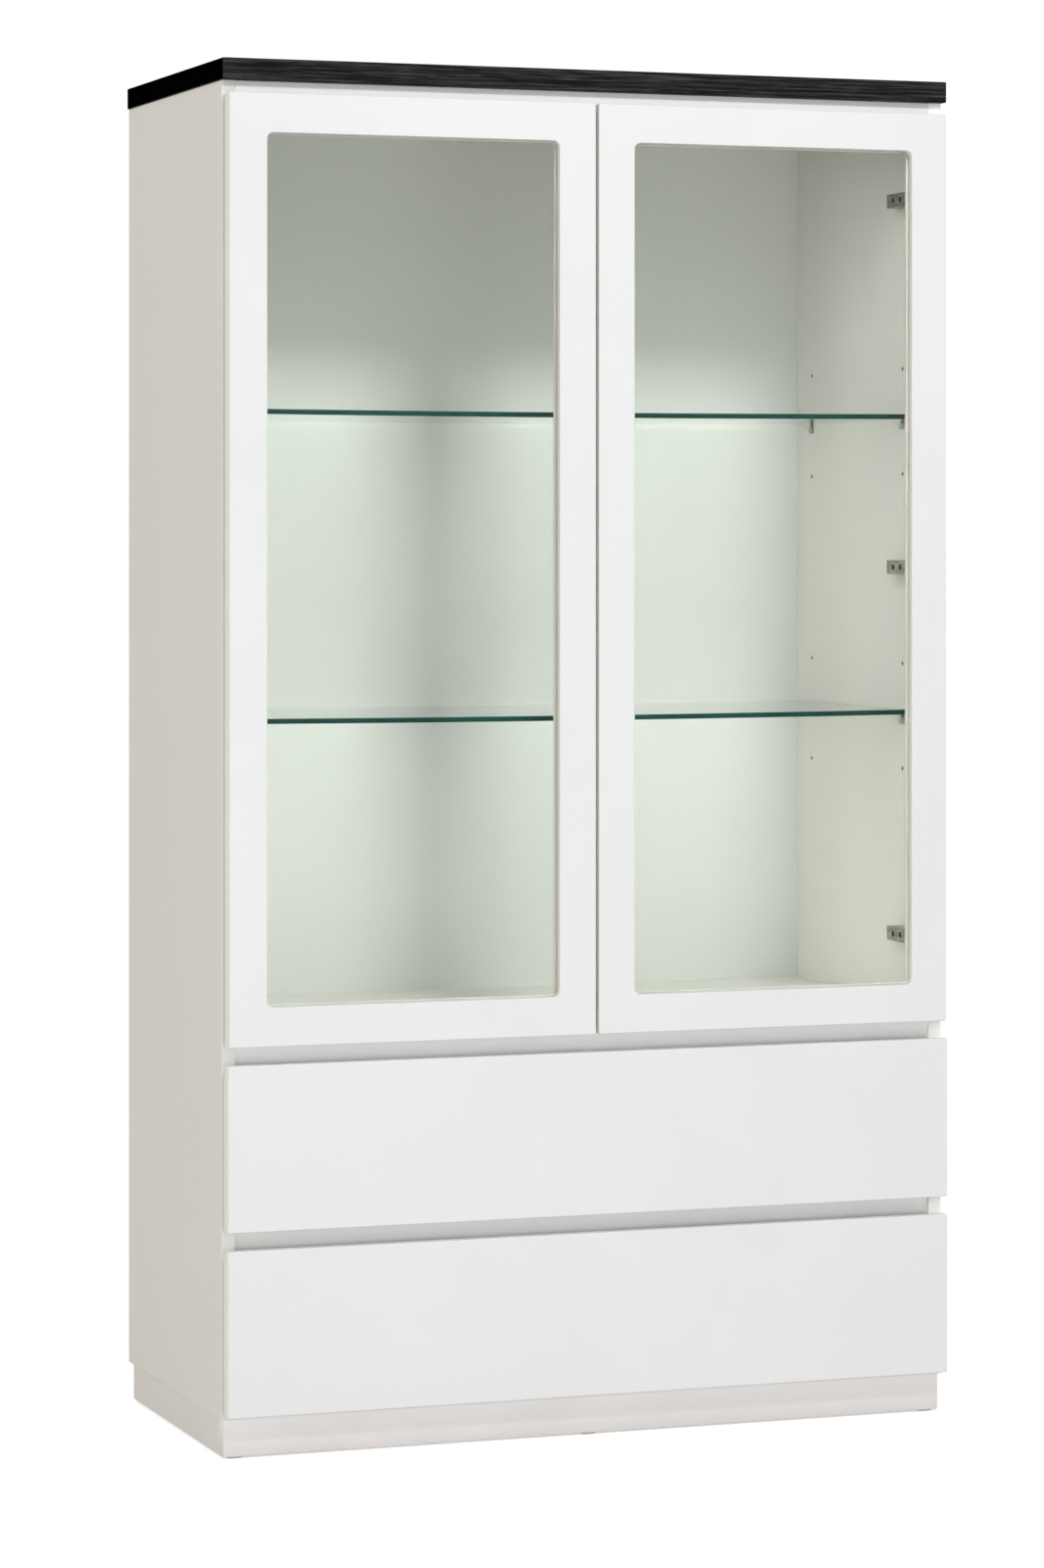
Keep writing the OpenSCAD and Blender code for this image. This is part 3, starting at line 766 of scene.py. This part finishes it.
def new_shape_tree(name, inputs):
    """A Geometry Nodes tree with named inputs, its group input and its output node."""
    group = bpy.data.node_groups.new(name, "GeometryNodeTree")
    for title, (kind, value) in inputs.items():
        made = group.interface.new_socket(title, in_out="INPUT", socket_type="NodeSocket" + kind)
        if value is not None:
            made.default_value = value
    group.interface.new_socket("Geometry", in_out="OUTPUT", socket_type="NodeSocketGeometry")
    return group, group.nodes.new("NodeGroupInput").outputs, group.nodes.new("NodeGroupOutput")


def end_tree(group, output, geometry, material):
    """Realized, given its material, and sent out."""
    plain = add_node(group, "GeometryNodeRealizeInstances", {"Geometry": geometry})
    dressed = add_node(
        group,
        "GeometryNodeSetMaterial",
        {"Geometry": plain.outputs[0], "Material": material},
    )
    group.links.new(dressed.outputs[0], output.inputs[0])


def grown(name, group, values, points=()):
    """The plain mesh that a tree makes with these input values, from these points."""
    base = bpy.data.meshes.new(name)
    base.from_pydata([tuple(p) for p in points], [], [])
    holder = bpy.data.objects.new(name + "_holder", base)
    bpy.context.scene.collection.objects.link(holder)
    maker = holder.modifiers.new("maker", "NODES")
    maker.node_group = group
    for item in group.interface.items_tree:
        if item.in_out == "INPUT" and item.name in values:
            maker[item.identifier] = values[item.name]
    seen = holder.evaluated_get(bpy.context.evaluated_depsgraph_get())
    mesh = bpy.data.meshes.new_from_object(seen)
    mesh.name = name
    dressed = [material for material in mesh.materials if material]
    slots = [dressed.index(mesh.materials[face.material_index]) for face in mesh.polygons]
    mesh.materials.clear()
    for material in dressed:
        mesh.materials.append(material)
    mesh.polygons.foreach_set("material_index", slots)
    holder.modifiers.remove(maker)
    bpy.data.objects.remove(holder)
    return mesh


shelf_tree, given, output = new_shape_tree(
    "sagging shelf",
    {
        "Middle": ("Vector", None),
        "Size": ("Vector", None),
        "Sag": ("Float", 0.0015),
        "Arris": ("Float", 0.0006),
    },
)
pane = add_node(
    shelf_tree,
    "GeometryNodeMeshCube",
    {"Size": given["Size"], "Vertices X": 61, "Vertices Y": 9, "Vertices Z": 4},
)
place = add_node(shelf_tree, "GeometryNodeInputPosition").outputs[0]
half = add_node(
    shelf_tree, "ShaderNodeVectorMath", {0: given["Size"], 1: (0.5, 0.5, 0.5)}, operation="MULTIPLY"
).outputs[0]
share = add_node(
    shelf_tree, "ShaderNodeSeparateXYZ", {0: add_node(
        shelf_tree, "ShaderNodeVectorMath", {0: place, 1: half}, operation="DIVIDE"
    ).outputs[0]}
).outputs
fall = add_math(shelf_tree, "MULTIPLY", share["X"], share["X"])
fall = add_math(shelf_tree, "MULTIPLY_ADD", fall, given["Sag"], add_math(
    shelf_tree, "MULTIPLY", given["Sag"], -1.0
))
corner = add_math(shelf_tree, "GREATER_THAN", add_math(shelf_tree, "ABSOLUTE", share["Z"]), 0.99)


def drawn_in(axis):
    """How far the arris pulls the top and bottom rims in along this axis."""
    reach = add_math(shelf_tree, "ABSOLUTE", share[axis])
    rim = add_math(shelf_tree, "GREATER_THAN", reach, 0.999)
    eased = add_math(shelf_tree, "MULTIPLY", rim, corner)
    pull = add_math(shelf_tree, "MULTIPLY", eased, given["Arris"])
    inward = add_math(shelf_tree, "MULTIPLY", share[axis], -1.0)
    return add_math(shelf_tree, "MULTIPLY", pull, inward)


sagged = add_node(
    shelf_tree,
    "GeometryNodeSetPosition",
    {
        "Geometry": pane.outputs[0],
        "Offset": add_node(
            shelf_tree, "ShaderNodeCombineXYZ", {"X": drawn_in("X"), "Y": drawn_in("Y"), "Z": fall}
        ).outputs[0],
    },
)
moved = add_node(
    shelf_tree,
    "GeometryNodeTransform",
    {"Geometry": sagged.outputs[0], "Translation": given["Middle"]},
)
end_tree(shelf_tree, output, moved.outputs[0], shelf_glass)

for node in ("upper_glass_shelf", "lower_glass_shelf"):
    low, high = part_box(node)
    mesh = grown(
        node + "_made",
        shelf_tree,
        {"Middle": (low + high) / 2, "Size": high - low, "Sag": 0.0015, "Arris": 0.0007},
    )
    for face in mesh.polygons:
        face.use_smooth = False
    piece = new_piece(node + "_made", mesh)
    wear(piece, shelf_glass, ground_edge, second=lambda face: face.normal.y < -0.5)
    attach(piece, "carcass")
    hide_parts(node)


# ---- Glazing beads -----------------------------------------------------------------------
# A cream vinyl bead runs round the back of each pane in one length. It is swept along the
# rebate's round-cornered outline, and its lip shows as a thin line at the glass.

bead_tree, given, output = new_shape_tree(
    "glazing bead",
    {
        "Middle": ("Vector", None),
        "Width": ("Float", 0.37),
        "Height": ("Float", 1.01),
        "Corner": ("Float", 0.008),
        "Deep": ("Float", 0.0055),
        "Wide": ("Float", 0.009),
    },
)
outline = add_node(
    bead_tree,
    "GeometryNodeCurvePrimitiveQuadrilateral",
    {"Width": given["Width"], "Height": given["Height"]},
)
rounded = add_node(
    bead_tree,
    "GeometryNodeFilletCurve",
    {"Curve": outline.outputs[0], "Radius": given["Corner"], "Count": 8},
    mode="POLY",
)
section = add_node(
    bead_tree,
    "GeometryNodeCurvePrimitiveQuadrilateral",
    {"Width": given["Wide"], "Height": given["Deep"]},
)
eased = add_node(
    bead_tree,
    "GeometryNodeFilletCurve",
    {"Curve": section.outputs[0], "Radius": 0.0008, "Count": 3},
    mode="POLY",
)
swept = add_node(
    bead_tree,
    "GeometryNodeCurveToMesh",
    {"Curve": rounded.outputs[0], "Profile Curve": eased.outputs[0]},
)
stood = add_node(
    bead_tree,
    "GeometryNodeTransform",
    {
        "Geometry": swept.outputs[0],
        "Translation": given["Middle"],
        "Rotation": (math.radians(90), 0, 0),
    },
)

vinyl, tree, shader = new_material("cream vinyl bead", IOR=1.5, Specular_IOR_Level=0.4)
film = use_group(tree, sprayed, Wave_size=0.05, Ripple_size=0.0012, Ripple_share=0.4)
finish_with(
    tree,
    shader,
    between(tree, span(tree, film["Cloud"], 0, 1), (0.84, 0.81, 0.72, 1), (0.89, 0.865, 0.78, 1)),
    span(tree, film["Cloud"], 0.4, 0.5),
    film["Height"],
    0.00004,
)
end_tree(bead_tree, output, stood.outputs[0], vinyl)

bead_play = 0.0001
bead_wide = 0.008
for side in ("left", "right"):
    node = side + "_glazing_bead"
    low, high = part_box(node)
    size = high - low
    wide = bead_wide - 2 * bead_play
    mesh = grown(
        node + "_made",
        bead_tree,
        {
            "Middle": (low + high) / 2,
            "Width": size.x - wide - 2 * bead_play,
            "Height": size.z - wide - 2 * bead_play,
            "Corner": 0.0045,
            "Deep": size.y - 2 * bead_play,
            "Wide": wide,
        },
    )
    for face in mesh.polygons:
        face.use_smooth = True
    mesh.set_sharp_from_angle(angle=math.radians(35))
    piece = place_piece(node, mesh)


# ---- Hinges ------------------------------------------------------------------------------
# Three concealed hinges a door, pressed and die-cast and then nickel plated. The cups ride
# on the doors; plates and arms are screwed to the sides. Screw heads are set in by the tree.

rolled, given, where = new_group(
    "plated metal",
    {"Brush length": 0.03, "Brush width": 0.0006, "Cloud size": 0.02},
    {"Height": "NodeSocketFloat", "Brush": "NodeSocketFloat", "Cloud": "NodeSocketFloat"},
)
parts = add_node(rolled, "ShaderNodeSeparateXYZ", {0: where}).outputs
brushed = add_node(
    rolled,
    "ShaderNodeCombineXYZ",
    {
        "X": add_math(rolled, "DIVIDE", parts["X"], given["Brush width"]),
        "Y": add_math(rolled, "DIVIDE", parts["Y"], given["Brush length"]),
        "Z": add_math(rolled, "DIVIDE", parts["Z"], given["Brush width"]),
    },
).outputs[0]
brush = add_node(
    rolled, "ShaderNodeTexNoise", {"Vector": brushed, "Scale": 0.5, "Detail": 3.0}
)
cloud = add_node(
    rolled,
    "ShaderNodeTexNoise",
    {
        "Vector": where,
        "Scale": add_math(rolled, "DIVIDE", 1.0, given["Cloud size"]),
        "Detail": 4.0,
        "Roughness": 0.6,
    },
)
add_node(
    rolled,
    "NodeGroupOutput",
    {"Height": brush.outputs[0], "Brush": brush.outputs[0], "Cloud": cloud.outputs[0]},
)


def plated(name, low, high, smooth, rough, **grain):
    """A plated metal between two tones and two roughnesses."""
    material, tree, shader = new_material(name, Metallic=1.0)
    metal = use_group(tree, rolled, **grain)
    finish_with(
        tree,
        shader,
        between(tree, span(tree, metal["Cloud"], 0, 1), low, high),
        span(tree, metal["Brush"], smooth, rough),
        metal["Height"],
        0.00003,
    )
    return material


nickel = plated("nickel plate", (0.4, 0.37, 0.32, 1), (0.56, 0.53, 0.47, 1), 0.2, 0.36)
dark_nickel = plated(
    "black nickel screw", (0.012, 0.011, 0.01, 1), (0.035, 0.031, 0.027, 1), 0.4, 0.55
)

# The plates and arms inside the cabinet get a darker, warmer copy of the nickel: painted shade.
shaded_arm_nickel = plated(
    "darkened nickel arm with painted shade", (0.17, 0.145, 0.12, 1), (0.5, 0.46, 0.4, 1), 0.22, 0.4, Cloud_size=0.004
)

plate_edge = 0.0004
for node in ("hinge_plates", "hinge_arms", "left_hinge_cups", "right_hinge_cups"):
    piece = softened(node, plate_edge, lambda middle, along: along.length > 0.003, 2, 50)
    wear(piece, shaded_arm_nickel if node in ("hinge_plates", "hinge_arms") else nickel)

for node in ("left_hinge_pins", "right_hinge_pins"):
    wear(cad[node], nickel)


def lumps(node):
    """Each separate solid of a CAD node, as the lowest and highest corner of its box."""
    shape = bmesh.new()
    shape.from_mesh(cad[node].data)
    bmesh.ops.remove_doubles(shape, verts=shape.verts, dist=weld)
    left, found = set(shape.verts), []
    while left:
        todo, seen = [left.pop()], []
        while todo:
            vert = todo.pop()
            seen.append(vert.co.copy())
            for edge in vert.link_edges:
                other = edge.other_vert(vert)
                if other in left:
                    left.remove(other)
                    todo.append(other)
        found.append([Vector([pick(c[i] for c in seen) for i in range(3)]) for pick in (min, max)])
    shape.free()
    return sorted(found, key=lambda box: tuple(box[0]))


# One screw, drawn head upwards along Z: shank, domed head and a cross cut into it.
screw_tree, given, output = new_shape_tree(
    "cross head screws",
    {
        "Geometry": ("Geometry", None),
        "Head radius": ("Float", 0.004),
        "Head height": ("Float", 0.0015),
        "Shank radius": ("Float", 0.0025),
        "Shank length": ("Float", 0.013),
        "Turn": ("Rotation", None),
        "Seed": ("Int", 7),
    },
)
dome_low = add_node(
    screw_tree,
    "GeometryNodeMeshCone",
    {
        "Vertices": 24,
        "Radius Bottom": given["Head radius"],
        "Radius Top": add_math(screw_tree, "MULTIPLY", given["Head radius"], 0.9),
        "Depth": add_math(screw_tree, "MULTIPLY", given["Head height"], 0.6),
    },
)
dome_high = add_node(
    screw_tree,
    "GeometryNodeMeshCone",
    {
        "Vertices": 24,
        "Radius Bottom": add_math(screw_tree, "MULTIPLY", given["Head radius"], 0.9),
        "Radius Top": add_math(screw_tree, "MULTIPLY", given["Head radius"], 0.62),
        "Depth": add_math(screw_tree, "MULTIPLY", given["Head height"], 0.41),
    },
)
dome_lift = add_node(
    screw_tree,
    "GeometryNodeTransform",
    {
        "Geometry": dome_high.outputs[0],
        "Translation": add_node(
            screw_tree,
            "ShaderNodeCombineXYZ",
            {"Z": add_math(screw_tree, "MULTIPLY", given["Head height"], 0.59)},
        ).outputs[0],
    },
)
shank = add_node(
    screw_tree,
    "GeometryNodeMeshCone",
    {
        "Vertices": 16,
        "Radius Bottom": add_math(screw_tree, "MULTIPLY", given["Shank radius"], 0.7),
        "Radius Top": given["Shank radius"],
        "Depth": given["Shank length"],
    },
)
shank_drop = add_node(
    screw_tree,
    "GeometryNodeTransform",
    {
        "Geometry": shank.outputs[0],
        "Translation": add_node(
            screw_tree,
            "ShaderNodeCombineXYZ",
            {"Z": add_math(screw_tree, "MULTIPLY", given["Shank length"], -0.999)},
        ).outputs[0],
    },
)
head = add_node(screw_tree, "GeometryNodeMeshBoolean", operation="UNION", solver="EXACT")
for part in (dome_low, dome_lift, shank_drop):
    screw_tree.links.new(part.outputs[0], head.inputs["Mesh 2"])
cut = add_node(
    screw_tree,
    "GeometryNodeMeshBoolean",
    {"Mesh 1": head.outputs[0]},
    operation="DIFFERENCE",
    solver="EXACT",
)
for quarter in (45, 135):
    slot_cut = add_node(
        screw_tree,
        "GeometryNodeMeshCube",
        {
            "Size": add_node(
                screw_tree,
                "ShaderNodeCombineXYZ",
                {
                    "X": add_math(screw_tree, "MULTIPLY", given["Head radius"], 1.15),
                    "Y": add_math(screw_tree, "MULTIPLY", given["Head radius"], 0.26),
                    "Z": given["Head height"],
                },
            ).outputs[0]
        },
    )
    turned = add_node(
        screw_tree,
        "GeometryNodeTransform",
        {
            "Geometry": slot_cut.outputs[0],
            "Translation": add_node(
                screw_tree, "ShaderNodeCombineXYZ", {"Z": given["Head height"]}
            ).outputs[0],
            "Rotation": (0, 0, math.radians(quarter)),
        },
    )
    screw_tree.links.new(turned.outputs[0], cut.inputs["Mesh 2"])
spin = add_node(
    screw_tree,
    "FunctionNodeRandomValue",
    {"Max": math.pi, "Seed": given["Seed"]},
    data_type="FLOAT",
)
spun = add_node(
    screw_tree,
    "FunctionNodeAxisAngleToRotation",
    {"Axis": (0, 0, 1), "Angle": spin.outputs[1]},
)
faced = add_node(
    screw_tree,
    "FunctionNodeRotateRotation",
    {"Rotation": given["Turn"], "Rotate By": spun.outputs[0]},
    rotation_space="LOCAL",
)
set_in = add_node(
    screw_tree,
    "GeometryNodeInstanceOnPoints",
    {
        "Points": given["Geometry"],
        "Instance": cut.outputs[0],
        "Rotation": faced.outputs[0],
    },
)
end_tree(screw_tree, output, set_in.outputs[0], dark_nickel)


def drive_screws(node, name, points, turn, body, sizes):
    """One mesh of screws, their heads seated at these points and facing this way."""
    values = {"Turn": turn, "Seed": 7}
    values.update(sizes)
    mesh = grown(name, screw_tree, values, points)
    mesh.set_sharp_from_angle(angle=math.radians(30))
    piece = new_piece(name, mesh)
    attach(piece, body)
    return piece


# Screws driven sideways, split by the side panel that they hold to.
facing_in = {-1: (0, math.radians(90), 0), 1: (0, math.radians(-90), 0)}
for node, head_radius, head_height, shank_radius in (
    ("hinge_plate_screws", 0.0038, 0.0014, 0.0024),
    ("hinge_adjusters", 0.0037, 0.0009, 0.0018),
):
    for side, word in ((-1, "left"), (1, "right")):
        seats, long = [], 0.0
        for low, high in lumps(node):
            centre = (low + high) / 2
            if centre.x * side > 0:
                inner = min(abs(low.x), abs(high.x)) + head_height
                long = abs(high.x - low.x) - head_height - 0.0002
                seats.append((side * inner, centre.y, centre.z))
        piece = drive_screws(
            node,
            word + "_" + node + "_made",
            seats,
            facing_in[side],
            "carcass",
            {
                "Head radius": head_radius,
                "Head height": head_height,
                "Shank radius": shank_radius,
                "Shank length": long,
            },
        )
        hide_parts(node)

cup_head = 0.0012
for word in ("left", "right"):
    node = word + "_cup_screws"
    seats, long = [], 0.0
    for low, high in lumps(node):
        centre = (low + high) / 2
        long = high.y - low.y - cup_head - 0.0004
        seats.append((centre.x, high.y - cup_head - 0.0001, centre.z))
    piece = drive_screws(
        node,
        node + "_made",
        seats,
        (math.radians(-90), 0, 0),
        word + "_door",
        {
            "Head radius": 0.0031,
            "Head height": cup_head,
            "Shank radius": 0.0016,
            "Shank length": long,
        },
    )
    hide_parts(node)


# ---- Back nails --------------------------------------------------------------------------
# Flat-headed nails hold the two back panels in their rebates. The tree sets one nail at each
# place, its head almost flush with the board.

nail_head_thick = 0.0008
nail_tree, given, output = new_shape_tree(
    "panel nails",
    {
        "Geometry": ("Geometry", None),
        "Head radius": ("Float", 0.002),
        "Head thickness": ("Float", nail_head_thick),
        "Shank radius": ("Float", 0.0008),
        "Length": ("Float", 0.0142),
    },
)
nail_head = add_node(
    nail_tree,
    "GeometryNodeMeshCone",
    {
        "Vertices": 14,
        "Radius Bottom": given["Head radius"],
        "Radius Top": add_math(nail_tree, "MULTIPLY", given["Head radius"], 0.8),
        "Depth": given["Head thickness"],
    },
)
nail_shank = add_node(
    nail_tree,
    "GeometryNodeMeshCone",
    {
        "Vertices": 8,
        "Radius Bottom": add_math(nail_tree, "MULTIPLY", given["Shank radius"], 0.15),
        "Radius Top": given["Shank radius"],
        "Depth": given["Length"],
    },
)
nail_drop = add_node(
    nail_tree,
    "GeometryNodeTransform",
    {
        "Geometry": nail_shank.outputs[0],
        "Translation": add_node(
            nail_tree,
            "ShaderNodeCombineXYZ",
            {"Z": add_math(nail_tree, "MULTIPLY", given["Length"], -1.0)},
        ).outputs[0],
    },
)
whole_nail = add_node(nail_tree, "GeometryNodeJoinGeometry")
for part in (nail_head, nail_drop):
    nail_tree.links.new(part.outputs[0], whole_nail.inputs[0])
nailed = add_node(
    nail_tree,
    "GeometryNodeInstanceOnPoints",
    {
        "Points": given["Geometry"],
        "Instance": whole_nail.outputs[0],
        "Rotation": (math.radians(-90), 0, 0),
    },
)
end_tree(nail_tree, output, nailed.outputs[0], nickel)

seats, long = [], 0.0
for low, high in lumps("back_nails"):
    centre = (low + high) / 2
    long = high.y - low.y - nail_head_thick - 0.0001
    seats.append((centre.x, high.y - nail_head_thick, centre.z))
mesh = grown("back_nails_made", nail_tree, {"Length": long}, seats)
mesh.set_sharp_from_angle(angle=math.radians(35))
piece = new_piece("back_nails_made", mesh)
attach(piece, "carcass")
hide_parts("back_nails")


# ---- Cam fittings ------------------------------------------------------------------------
# Zinc die-cast cams lie in bores in the horizontal boards and pull on steel bolts screwed
# into the sides. Each keeps the cross cut that its driver turns.

cast_zinc = plated(
    "die cast zinc", (0.44, 0.44, 0.45, 1), (0.54, 0.54, 0.55, 1), 0.38, 0.52, Cloud_size=0.006
)
piece = softened("cam_locks", 0.0005, lambda middle, along: along.length < 0.004, 2, 60)
wear(piece, cast_zinc)
wear(cad["cam_bolts"], nickel)


# ---- Shelf supports and bumpers ----------------------------------------------------------
# Clear moulded plastic, faintly clouded by its gate marks and by handling: a pin, plate and
# tab under each shelf corner, and small domed pads behind the doors and drawer fronts.

clear_plastic = clear_glass(
    "clear moulded plastic", (0.985, 0.99, 0.98, 1), (0.96, 0.965, 0.96, 1), 0.00003, 1.22
)
piece = softened("shelf_supports", 0.0004, lambda middle, along: along.length > 0.0015, 2, 50)
wear(piece, clear_plastic)

bumpers = (
    "left_door_bumpers",
    "right_door_bumpers",
    "upper_drawer_bumpers",
    "lower_drawer_bumpers",
)
for node in bumpers:
    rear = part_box(node)[1].y
    piece = softened(node, 0.0008, lambda middle, along: middle.y > rear - 0.0001, 4)
    wear(piece, clear_plastic)


# ---- Runners -----------------------------------------------------------------------------
# Full-extension runners roll-formed from bright zinc-plated strip: a fixed rail, a middle
# rail and a drawer rail, with a row of steel balls held by a cage in each gap between them.

zinc = plated(
    "bright zinc strip",
    (0.56, 0.58, 0.61, 1),
    (0.68, 0.7, 0.72, 1),
    0.24,
    0.4,
    Brush_length=0.08,
    Cloud_size=0.012,
)
rails = [
    row + "_" + part
    for row in ("upper", "lower")
    for part in ("fixed_rails", "middle_rails", "inner_rails")
]
for node in rails:
    piece = softened(node, 0.0004, lambda middle, along: abs(along.y) > 0.02, 2, 60)
    wear(piece, zinc)

ball_tree, given, output = new_shape_tree(
    "balls in cages",
    {
        "Geometry": ("Geometry", None),
        "Ball radius": ("Float", 0.0016),
        "Pitch": ("Float", 0.0095),
        "Count": ("Int", 6),
    },
)
row_of_balls = add_node(
    ball_tree,
    "GeometryNodeMeshLine",
    {
        "Count": given["Count"],
        "Offset": add_node(
            ball_tree, "ShaderNodeCombineXYZ", {"Y": given["Pitch"]}
        ).outputs[0],
    },
)
spots = add_node(
    ball_tree,
    "GeometryNodeInstanceOnPoints",
    {"Points": given["Geometry"], "Instance": row_of_balls.outputs[0]},
)
loose = add_node(ball_tree, "GeometryNodeRealizeInstances", {"Geometry": spots.outputs[0]})
ball = add_node(
    ball_tree,
    "GeometryNodeMeshUVSphere",
    {"Segments": 10, "Rings": 7, "Radius": given["Ball radius"]},
)
balls = add_node(
    ball_tree,
    "GeometryNodeInstanceOnPoints",
    {"Points": loose.outputs[0], "Instance": ball.outputs[0]},
)
round_balls = add_node(ball_tree, "GeometryNodeSetShadeSmooth", {"Geometry": balls.outputs[0]})
bright_steel = plated(
    "polished ball steel", (0.62, 0.62, 0.63, 1), (0.7, 0.7, 0.71, 1), 0.1, 0.18, Cloud_size=0.004
)
end_tree(ball_tree, output, round_balls.outputs[0], bright_steel)

cage_plastic, tree, shader = new_material("black cage plastic", IOR=1.5, Specular_IOR_Level=0.4)
film = use_group(tree, sprayed, Wave_size=0.02, Ripple_size=0.0009, Ripple_share=0.5)
finish_with(
    tree,
    shader,
    between(
        tree, span(tree, film["Cloud"], 0, 1), (0.012, 0.012, 0.012, 1), (0.02, 0.02, 0.021, 1)
    ),
    span(tree, film["Cloud"], 0.42, 0.56),
    film["Height"],
    0.00005,
)
ball_pitch = 0.0095
for row in ("upper", "lower"):
    node = row + "_ball_cages"
    wear(cad[node], cage_plastic)
    seats = []
    for low, high in lumps(node):
        centre = (low + high) / 2
        for share in (0.06, 0.5, 0.88):
            seats.append((centre.x, low.y + (high.y - low.y) * share, centre.z))
    mesh = grown(
        row + "_cage_balls",
        ball_tree,
        {"Ball radius": 0.0019, "Pitch": ball_pitch, "Count": 5},
        seats,
    )
    piece = new_piece(row + "_cage_balls", mesh)
    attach(piece, row + "_runner_middle")


# ---- Floor glides ------------------------------------------------------------------------
# Pale felt discs nailed under the plinth, their fibres matted by the weight on them.

felt, tree, shader = new_material("pale glide felt", Sheen_Weight=0.3, Specular_IOR_Level=0.1)
tuft = use_group(tree, pearled, Pearl_size=0.0006, Mottle_size=0.004)
finish_with(
    tree,
    shader,
    between(tree, span(tree, tuft["Mottle"], 0, 1), (0.5, 0.48, 0.45, 1), (0.66, 0.64, 0.61, 1)),
    span(tree, tuft["Mottle"], 0.9, 1.0),
    tuft["Height"],
    0.0003,
)
piece = softened("floor_glides", 0.0005, rounds=2)
wear(piece, felt)


# ---- Cards that light the set-back boards ------------------------------------------------
# The glass and the finger gaps keep part of the room's light out, so three soft cards in
# front are each aimed at the boards set back behind them and at nothing else.


def light_only(lamp, names):
    aimed = bpy.data.collections.new(lamp.name + " aim")
    for name in names:
        aimed.objects.link(bpy.data.objects[name])
    lamp.light_linking.receiver_collection = aimed


light_only(left_card, ["right_side_panel_made"])
light_only(
    front_card,
    ["upper_back_panel", "lower_back_panel", "cabinet_floor_panel_made", "carcass_top_panel_made"],
)
light_only(
    rail_card, ["upper_grip_rail_made", "middle_grip_rail_made", "plinth_front_rail_made"]
)
